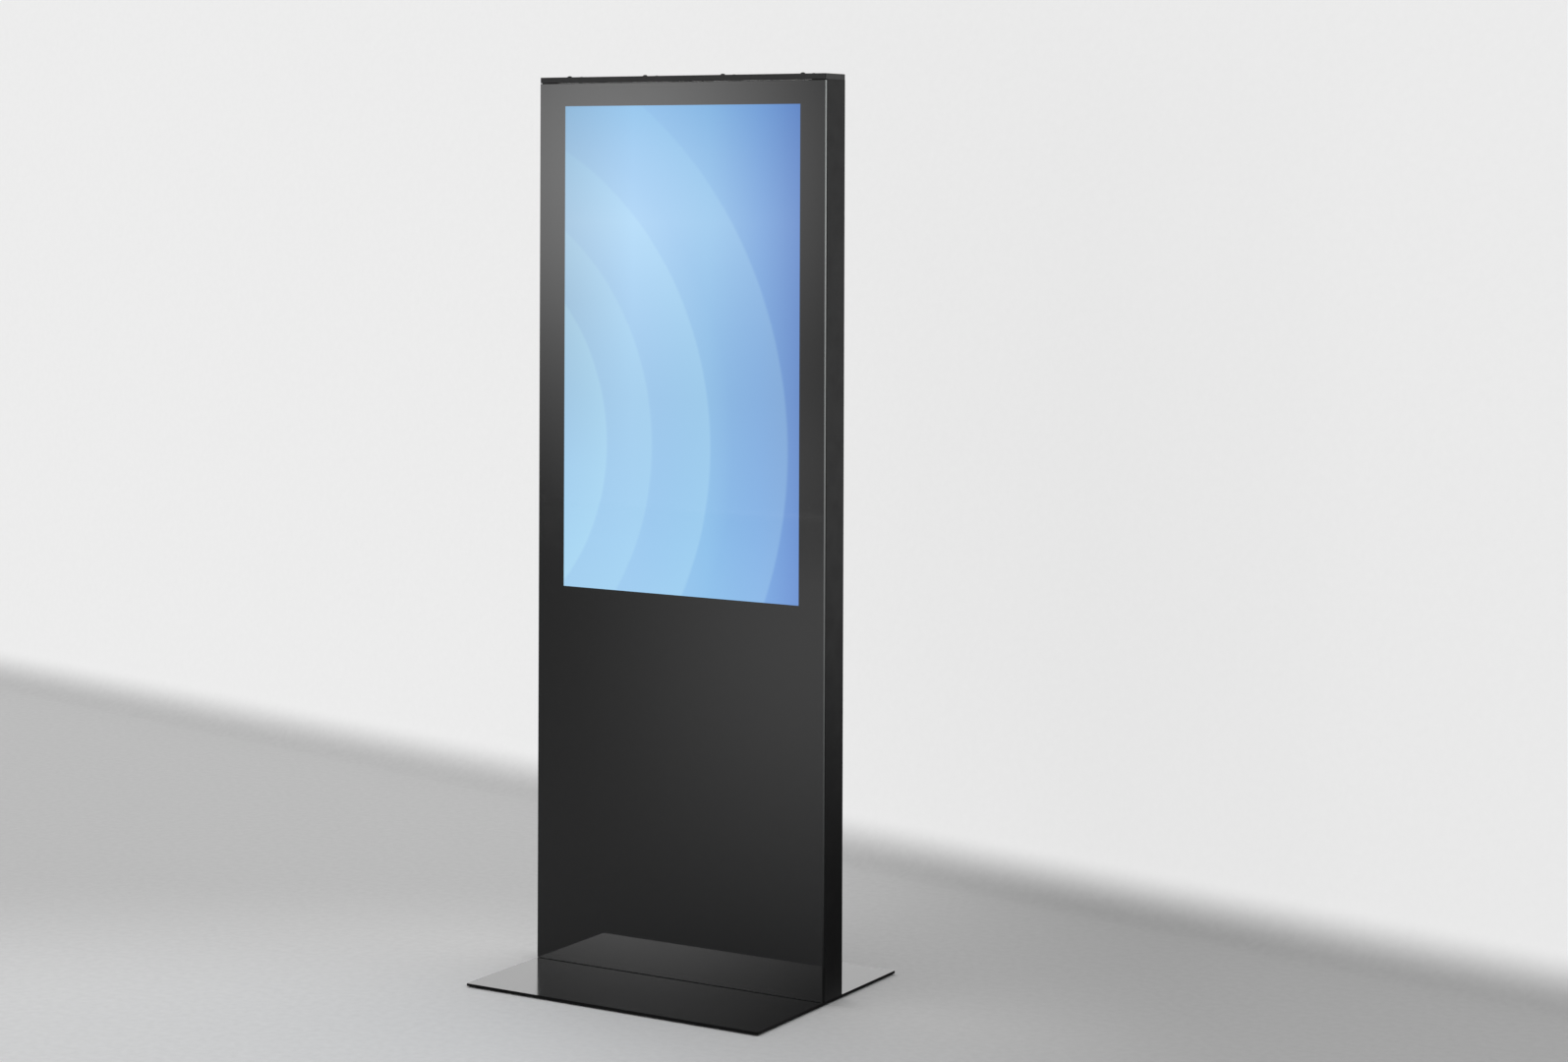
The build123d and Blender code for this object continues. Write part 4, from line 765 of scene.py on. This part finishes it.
def cable_tie(shape, middle, direction, radius, turn):
    """Nylon tie: a band round the cable, a ratchet head and the cut tail that leaves it."""
    aside, over = frame_about(direction)
    direction = direction.normalized()
    band = rounded(3.4 * mm, 1.0 * mm, 0.3 * mm, 2)
    rings = []
    for step in range(36):
        angle = tau * step / 36
        outward = aside * math.cos(angle) + over * math.sin(angle)
        rings.append([middle + outward * (radius + 0.55 * mm + b) + direction * a for a, b in band])
    loft(shape, rings, closed=True)
    outward = aside * math.cos(turn) + over * math.sin(turn)
    along = direction.cross(outward)
    seat = middle + outward * (radius + 0.4 * mm)
    head = []
    for h, w, d in ((0, 4.6, 5.0), (0.4, 5.2, 5.6), (2.6, 5.2, 5.6), (3.2, 4.4, 4.8)):
        block = rounded(w * mm, d * mm, 0.8 * mm, 3)
        head.append([seat + outward * h * mm + direction * a + along * b for a, b in block])
    loft(shape, head)
    tail = []
    for step in range(9):
        reach = step / 8
        spot = seat + outward * (3.0 + 8.0 * reach) * mm + along * 3.5 * reach**2 * mm
        wide = 3.0 - 0.5 * reach
        tail.append([spot + direction * a + along * b for a, b in rounded(wide * mm, 1.0 * mm, 0.3 * mm, 2)])
    loft(shape, tail)


def cable_ties():
    """Ties on every cable that crosses a few chosen levels in the equipment bay."""
    plate_low, plate_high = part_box("equipment_plate")
    span = plate_high - plate_low
    shape = bmesh.new()
    sideways = Vector((1, 0, 0))
    planes = [(upward * (plate_low.z + span.z * share), upward) for share in (0.07, 0.53, 0.6, 0.9)]
    planes += [(sideways * (plate_low.x + span.x * share), sideways) for share in (0.32, 0.47)]
    for node, first in (("mains_cables", 0.6), ("data_cables", 2.2)):
        for point, normal in planes:
            near = cuts(node, point, normal)
            ahead = cuts(node, point + normal * 2 * mm, normal)
            for count, (middle, radius) in enumerate(near):
                if not plate_low.z < middle.z < plate_high.z or radius < 1.2 * mm:
                    continue
                onward = min(ahead, key=lambda item: (item[0] - middle).length, default=None)
                if onward is None or (onward[0] - middle).length > 4 * mm:
                    continue
                direction = onward[0] - middle
                true_radius = radius * abs(direction.normalized().dot(normal))
                cable_tie(shape, middle, direction, max(true_radius, 0.9 * radius), first + count)
    piece("cable_ties", shape, looks["black_plastic"], "cabinet")


def blank_labels():
    """Blank foil labels. One corner of each has lifted a little."""
    shape = bmesh.new()
    over, under, most_lift = 0.16 * mm, 0.03 * mm, 0.7 * mm

    def side(spot, width, height, gap):
        def point(across, up):
            lift = most_lift * (max(0.0, across + up - 1.7) / 0.3) ** 2
            return spot.x + (across - 0.5) * width, spot.y + gap + lift, spot.z + (up - 0.5) * height

        return point

    for node, across, up, width, height in (
        ("power_supply", 0.5, 0.6, 46 * mm, 66 * mm),
        ("touch_controller", 0.27, 0.125, 34 * mm, 9 * mm),
    ):
        spot, _ = share_on_back(node, across, up)
        closed_sheet(shape, 16, 12, side(spot, width, height, over), side(spot, width, height, under))
    piece("blank_labels", shape, foil_look, "cabinet")


def rating_plate():
    """Blank aluminium plate with a raised border and two rivets, midway along the rear skirt."""
    low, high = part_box("rear_skirt")
    spot, _ = on_back("rear_skirt", 0, (low.z + high.z) / 2)
    width, height, thick, rivet_reach = 90 * mm, 42 * mm, 0.8 * mm, 38 * mm
    # Each section is its height, how much smaller it is than the plate, and its corner radius.
    sections = [(0, 0, 3), (0.7, 0, 3), (0.8, 0.4, 2.8), (0.8, 5, 2.2), (0.5, 5.6, 2)]
    shape = bmesh.new()
    plate = [(h * mm, rounded(width - less * mm, height - less * mm, r * mm)) for h, less, r in sections]
    stack(shape, spot, backward, plate)
    for side in (-1, 1):
        seat = spot + Vector((side * rivet_reach, 0, 0))
        dome = [(-0.35, 2.4), (0.1, 2.4), (0.6, 1.9), (0.9, 0.9)]
        stack(shape, seat, backward, [(thick + h * mm, circle(r * mm)) for h, r in dome])
    piece("rating_plate", shape, foil_look, "cabinet")


def lamps():
    """Small domed lamps on the media player, the power supply and the touch controller."""
    dome = [(-0.3, 1.5), (0.2, 1.5), (0.3, 1.2), (0.8, 1.05), (1.15, 0.7), (1.3, 0.25)]
    for name, node, across, up, look in (
        ("player_lamp", "media_player", 0.064, 0.3, blue_look),
        ("supply_lamp", "power_supply", 0.5, 0.12, green_look),
        ("controller_lamp", "touch_controller", 0.92, 0.5, green_look),
    ):
        spot, _ = share_on_back(node, across, up)
        shape = bmesh.new()
        stack(shape, spot, backward, [(h * mm, circle(r * mm)) for h, r in dome])
        piece(name, shape, look, "cabinet")


def outlet_contacts():
    """Sprung brass contacts and their raised lips in the free outlets of the strip."""
    low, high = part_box("outlet_strip")
    x = (low.x + high.x) / 2
    first_outlet, outlet_pitch = 36 * mm, 56 * mm
    slot_width, slot_height, lip = 2 * mm, 5.5 * mm, 1.6 * mm
    outer = rounded(slot_width + lip, slot_height + lip, 1 * mm)
    inner = rounded(slot_width, slot_height, 0.4 * mm)
    slim = rounded(0.7 * mm, slot_height - 1 * mm, 0.2 * mm, 2)
    lip_sections = [(0, outer), (0.35 * mm, outer), (0.45 * mm, inner), (0.05 * mm, inner)]
    lips, metal = bmesh.new(), bmesh.new()
    for step in (1, 2):
        z = low.z + first_outlet + outlet_pitch * step
        for aside, up in ((-6.5, -2.5), (6.5, -2.5), (0, 3)):
            spot, _ = on_back("outlet_strip", x + aside * mm, z + up * mm)
            stack(lips, spot, backward, lip_sections)
            stack(metal, spot, backward, [(0.02 * mm, slim), (0.3 * mm, slim)])
    piece("outlet_lips", lips, looks["black_plastic"], "cabinet")
    piece("outlet_contacts", metal, brass_look, "cabinet")


def inlet_pins():
    """Nickel blades over the three pins of the mains inlet."""
    low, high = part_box("mains_inlet")
    middle = (low + high) / 2
    socket_aside, socket_depth = 13 * mm, 18 * mm
    blade = [(0.2, 4.2, 2.2), (14.6, 4.2, 2.2), (16.3, 2.8, 1.2)]
    shape = bmesh.new()
    for aside, up in ((-7, -2), (7, -2), (0, 3)):
        foot = Vector((middle.x + socket_aside + aside * mm, high.y - socket_depth, middle.z + up * mm))
        stack(shape, foot, backward, [(h * mm, rounded(w * mm, t * mm, 0.3 * mm)) for h, w, t in blade])
    piece("inlet_pins", shape, looks["nickel_lock"], "cabinet")


def rocker_marks():
    """The usual bar and ring of a mains switch, raised a little from the rocker's two faces."""
    ring_radius = 1.9 * mm
    shape = bmesh.new()
    spot, normal = share_on_back("power_switch", 0.5, 0.27)
    aside, over = frame_about(normal)
    section = rounded(0.7 * mm, 0.24 * mm, 0.08 * mm, 2)
    rings = []
    for c, s in circle(1, 32):
        outward = aside * c + over * s
        rings.append([spot + outward * (ring_radius + a) + normal * b for a, b in section])
    loft(shape, rings, closed=True)
    spot, normal = share_on_back("power_switch", 0.5, 0.73)
    bar = rounded(4.4 * mm, 0.9 * mm, 0.3 * mm)
    stack(shape, spot, normal, [(-0.1 * mm, bar), (0.12 * mm, bar)])
    piece("rocker_marks", shape, white_look, "switch")


def hub_discs():
    """Foil discs on the fan hubs, each with a raised rim and a notch that shows it turn."""
    radius, notch, notch_angle, notch_half_angle = 12.5 * mm, 2.2 * mm, 0.6, 0.14
    off_axle = 6 * mm  # a line to the hub's flat face that misses its middle
    outline = []
    for angle in (tau * k / 72 for k in range(72)):
        reach = radius - (notch if abs(angle - notch_angle) < notch_half_angle else 0)
        outline.append((reach * math.cos(angle), reach * math.sin(angle)))
    layers = [(0.02, 1), (0.3, 1), (0.36, 0.97), (0.36, 0.9), (0.24, 0.88)]
    disc = [(h * mm, [(a * share, b * share) for a, b in outline]) for h, share in layers]
    for body in ("fan_left", "fan_right"):
        node = "fan_rotor_" + body.split("_")[1]
        low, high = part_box(node)
        centre = (low + high) / 2
        spot, _ = on_back(node, centre.x, centre.z + off_axle)
        shape = bmesh.new()
        stack(shape, Vector((centre.x, spot.y, centre.z)), backward, disc)
        piece(body + "_hub_disc", shape, foil_look, body)


filter_pad()
door_seal_strip()
floor_treads()
cable_ties()
blank_labels()
rating_plate()
lamps()
outlet_contacts()
inlet_pins()
rocker_marks()
hub_discs()

# ---------------------------------------------------------------- studio

camera_place = Vector((3.190, -5.193, 1.5455))
camera_turn = math.radians(31.99)
camera_roll = math.radians(0.2)
camera_shift = (0.0779, -0.2255)
lens_mm, sensor_mm = 72.68, 36
ahead = Vector((-math.sin(camera_turn), math.cos(camera_turn), 0))
level = Vector((math.cos(camera_turn), math.sin(camera_turn), 0))

y_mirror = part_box("front_glass")[0].y  # face of the glass, which mirrors the room in front
y_camera = y_mirror - camera_place.y
wall_left = Vector((-1.302, 1.415, 0))  # two points on the foot of the backdrop
wall_right = Vector((0.8, 0.926, 0))
cove_radius, cove_steps = 0.12, 12
floor_gap, underlay_gap = 0.5 * mm, 2 * mm  # how far the floor and the sheet under it lie below the object
underlay_half = 40
square = ((-1, -1), (1, -1), (1, 1), (-1, 1))


def backdrop_mesh():
    """A floor that turns up into a wall, and one large sheet under it."""
    along = (wall_right - wall_left).normalized()
    into = Vector((-along.y, along.x, 0))
    foot = (wall_left + wall_right) / 2 - into * cove_radius
    profile = [(-40, 0), (-14, 0), (-4, 0), (-1.5, 0)]
    for step in range(cove_steps + 1):
        turn = math.radians(90 * step / cove_steps)
        profile.append((cove_radius * math.sin(turn), cove_radius * (1 - math.cos(turn))))
    profile += [(cove_radius, 2), (cove_radius, 9)]
    spans = [-40, -16, -6, -2, 2, 6, 16, 40]
    verts = [foot + along * s + into * p + upward * (h - floor_gap) for p, h in profile for s in spans]
    columns = len(spans)
    faces = [
        (row * columns + c, row * columns + c + 1, (row + 1) * columns + c + 1, (row + 1) * columns + c)
        for row in range(len(profile) - 1)
        for c in range(columns - 1)
    ]
    corner = len(verts)
    verts += [Vector((x * underlay_half, y * underlay_half, -underlay_gap)) for x, y in square]
    faces.append((corner, corner + 1, corner + 2, corner + 3))
    mesh = bpy.data.meshes.new("backdrop")
    mesh.from_pydata(verts, [], faces)
    for polygon in mesh.polygons:
        polygon.use_smooth = True
    mesh.update()
    return mesh


def pool_strength(t, x, y, z):
    """A pool of light on the floor in front, by its place in the glass. It grows towards the right edge."""
    reach = t.math("DIVIDE", t.math("SUBTRACT", y_mirror, y), y_camera)
    beyond = t.math("ADD", reach, 1)
    glass_x = t.math("DIVIDE", t.math("MULTIPLY_ADD", reach, camera_place.x, x), beyond)
    glass_z = t.math("DIVIDE", t.product(reach, camera_place.z), beyond)
    return t.product(
        t.remap(glass_x, -0.36, 0.32, 0.0, 0.72, smooth=True),
        t.remap(glass_z, 0.0, 0.72, smooth=True),
        t.remap(glass_z, 0.78, 0.915, 1, 0.6),
        t.remap(z, 0.01, 0.0),
    )


def backdrop_material():
    """Pale floor and wall, clear from behind and below. The floor's colour holds painted light and shade, and
    reflections also see painted shade and a painted pool of light.
    """
    material = bpy.data.materials.new("pale_backdrop")
    t = Tree(material)
    x, y, z = t.split(t.place())
    rise = t.remap(z, 0.0, 0.1, smooth=True)
    grain = t.remap(t.noise(60, 4), 0.3, 0.7, 0.97, 1.03)
    aside = t.math("ADD", t.product(x, level.x), t.product(y, level.y))
    depth = t.math("ADD", t.product(x, ahead.x), t.product(y, ahead.y))
    mirrored = t.add("ShaderNodeLightPath").outputs["Is Glossy Ray"]
    # Painted light: the floor's colour is lighter near the kiosk's front left, except where reflections see it,
    # and darker towards the right.
    near = t.product(
        t.remap(depth, 0.9, -0.2, 0, 0.3, smooth=True),
        t.math("SUBTRACT", 1, mirrored),
        t.remap(aside, 0.3, -0.4, smooth=True),
    )
    fall = t.math("SUBTRACT", t.math("ADD", 1, near), t.remap(aside, 0.2, 1.0, 0, 0.24, smooth=True))
    # Painted shade: reflections see the floor's colour a little darker.
    floor_grey_and_painted_light = t.product(fall, t.math("MULTIPLY_ADD", mirrored, -0.08, 0.66))
    ground = t.mix(rise, t.joined(floor_grey_and_painted_light, floor_grey_and_painted_light, floor_grey_and_painted_light), (0.3, 0.3, 0.3, 1))
    paint = t.shader("BsdfDiffuse", {"Color": t.mix(1.0, ground, grain, "MULTIPLY")})
    glow = t.shader("Emission", {"Color": (1, 1, 1, 1), "Strength": t.product(rise, 0.67)})

    # Painted shade: right of the kiosk and low down, reflections see the backdrop as near black, which darkens
    # the foot of its side.
    reflected_shade_mask = t.product(
        mirrored,
        t.remap(x, 0.3, 0.4, smooth=True),
        t.remap(z, 0.85, -0.1, 0.14, 1, smooth=True),
        t.math("GREATER_THAN", y, -0.1),
    )
    reflected_shade = t.shader("BsdfDiffuse", {"Color": (0.005, 0.005, 0.005, 1)})
    pool = t.shader("Emission", {"Strength": t.product(pool_strength(t, x, y, z), mirrored)})
    front = t.shader_sum(t.shader_mix(reflected_shade_mask, t.shader_sum(paint, glow), reflected_shade), pool)
    t.out(t.shader_mix(t.geometry("Backfacing"), front, t.shader("BsdfTransparent")))
    return material


def softbox(name, centre, size, strength, spread, shelf=(0, 1, 1), see_through=0.0):
    """A soft light panel that faces +Y, brightest in the middle, that the camera can't see.

    From shelf[0] to shelf[1] above its middle it falls to shelf[2] of its strength.
    """
    mesh = bpy.data.meshes.new(name)
    mesh.from_pydata([(x * size[0] / 2, y * size[1] / 2, 0) for x, y in square], [], [(0, 1, 2, 3)])
    obj = new_object(name, mesh)
    obj.location = centre
    obj.rotation_euler = backward.to_track_quat("Z", "Y").to_euler()
    obj.visible_camera = False
    material = bpy.data.materials.new(name)
    t = Tree(material)
    x, y, _ = t.split(t.place())
    distance = t.math(
        "ADD",
        t.math("POWER", t.math("DIVIDE", x, spread[0]), 2),
        t.math("POWER", t.math("DIVIDE", y, spread[1]), 2),
    )
    level_above = t.remap(y, shelf[0], shelf[1], strength, strength * shelf[2], smooth=True)
    power = t.product(t.math("POWER", math.e, t.product(distance, -1)), level_above)
    glow = t.shader("Emission", {"Strength": power})
    behind = t.shader("BsdfTransparent", {"Color": (see_through, see_through, see_through, 1)})
    panel = t.shader_sum(glow, behind)
    t.out(t.shader_mix(t.geometry("Backfacing"), panel, t.shader("BsdfTransparent")))
    mesh.materials.append(material)


backdrop = new_object("backdrop", backdrop_mesh())
backdrop.data.materials.append(backdrop_material())
softbox("key_panel", (-4.954, -7.5, 1.612), (5.7, 3.9), 4.0, (1.09, 1.058), shelf=(0.42, 0.64, 0.53))
softbox("low_panel", (-4.2, -7.4, 0.1), (3.6, 2.4), 0.88, (1.0, 0.53), see_through=1.0)

world = bpy.data.worlds.new("studio")
bpy.context.scene.world = world
sky = Tree(world)
sky_x, _, sky_z = sky.split(sky.add("ShaderNodeTexCoord").outputs["Generated"])
by_side = sky.remap(sky_x, -0.7, 0.8, 0.75, 0.3, smooth=True)
by_height = sky.remap(sky_z, -0.1, 0.9, 0.75, 1.35, smooth=True)
sky_look = {"Color": (1, 1, 1, 1), "Strength": sky.product(by_side, by_height)}
sky.out(sky.shader("Background", sky_look), "ShaderNodeOutputWorld")

# ---------------------------------------------------------------- camera

camera_data = bpy.data.cameras.new("main_camera")
camera = new_object("main_camera", camera_data)
bpy.context.scene.camera = camera
camera_data.sensor_width = sensor_mm
camera_data.lens = lens_mm
right = level * math.cos(camera_roll) + upward * math.sin(camera_roll)
top = upward * math.cos(camera_roll) - level * math.sin(camera_roll)
turned = Matrix((right, top, -ahead)).transposed()
camera.matrix_world = Matrix.Translation(camera_place) @ turned.to_4x4()

# The lens is shifted only while the camera stands in its main place, so other views stay centred.
for key, amount in (("shift_x", camera_shift[0]), ("shift_y", camera_shift[1])):
    driver = camera_data.driver_add(key).driver
    driver.type = "SCRIPTED"
    variable = driver.variables.new()
    variable.name = "x"
    variable.type = "TRANSFORMS"
    variable.targets[0].id = camera
    variable.targets[0].transform_type = "LOC_X"
    driver.expression = f"{amount} if abs(x - {camera_place.x:.4f}) < 0.001 else 0"

bpy.context.scene.view_settings.view_transform = "Standard"
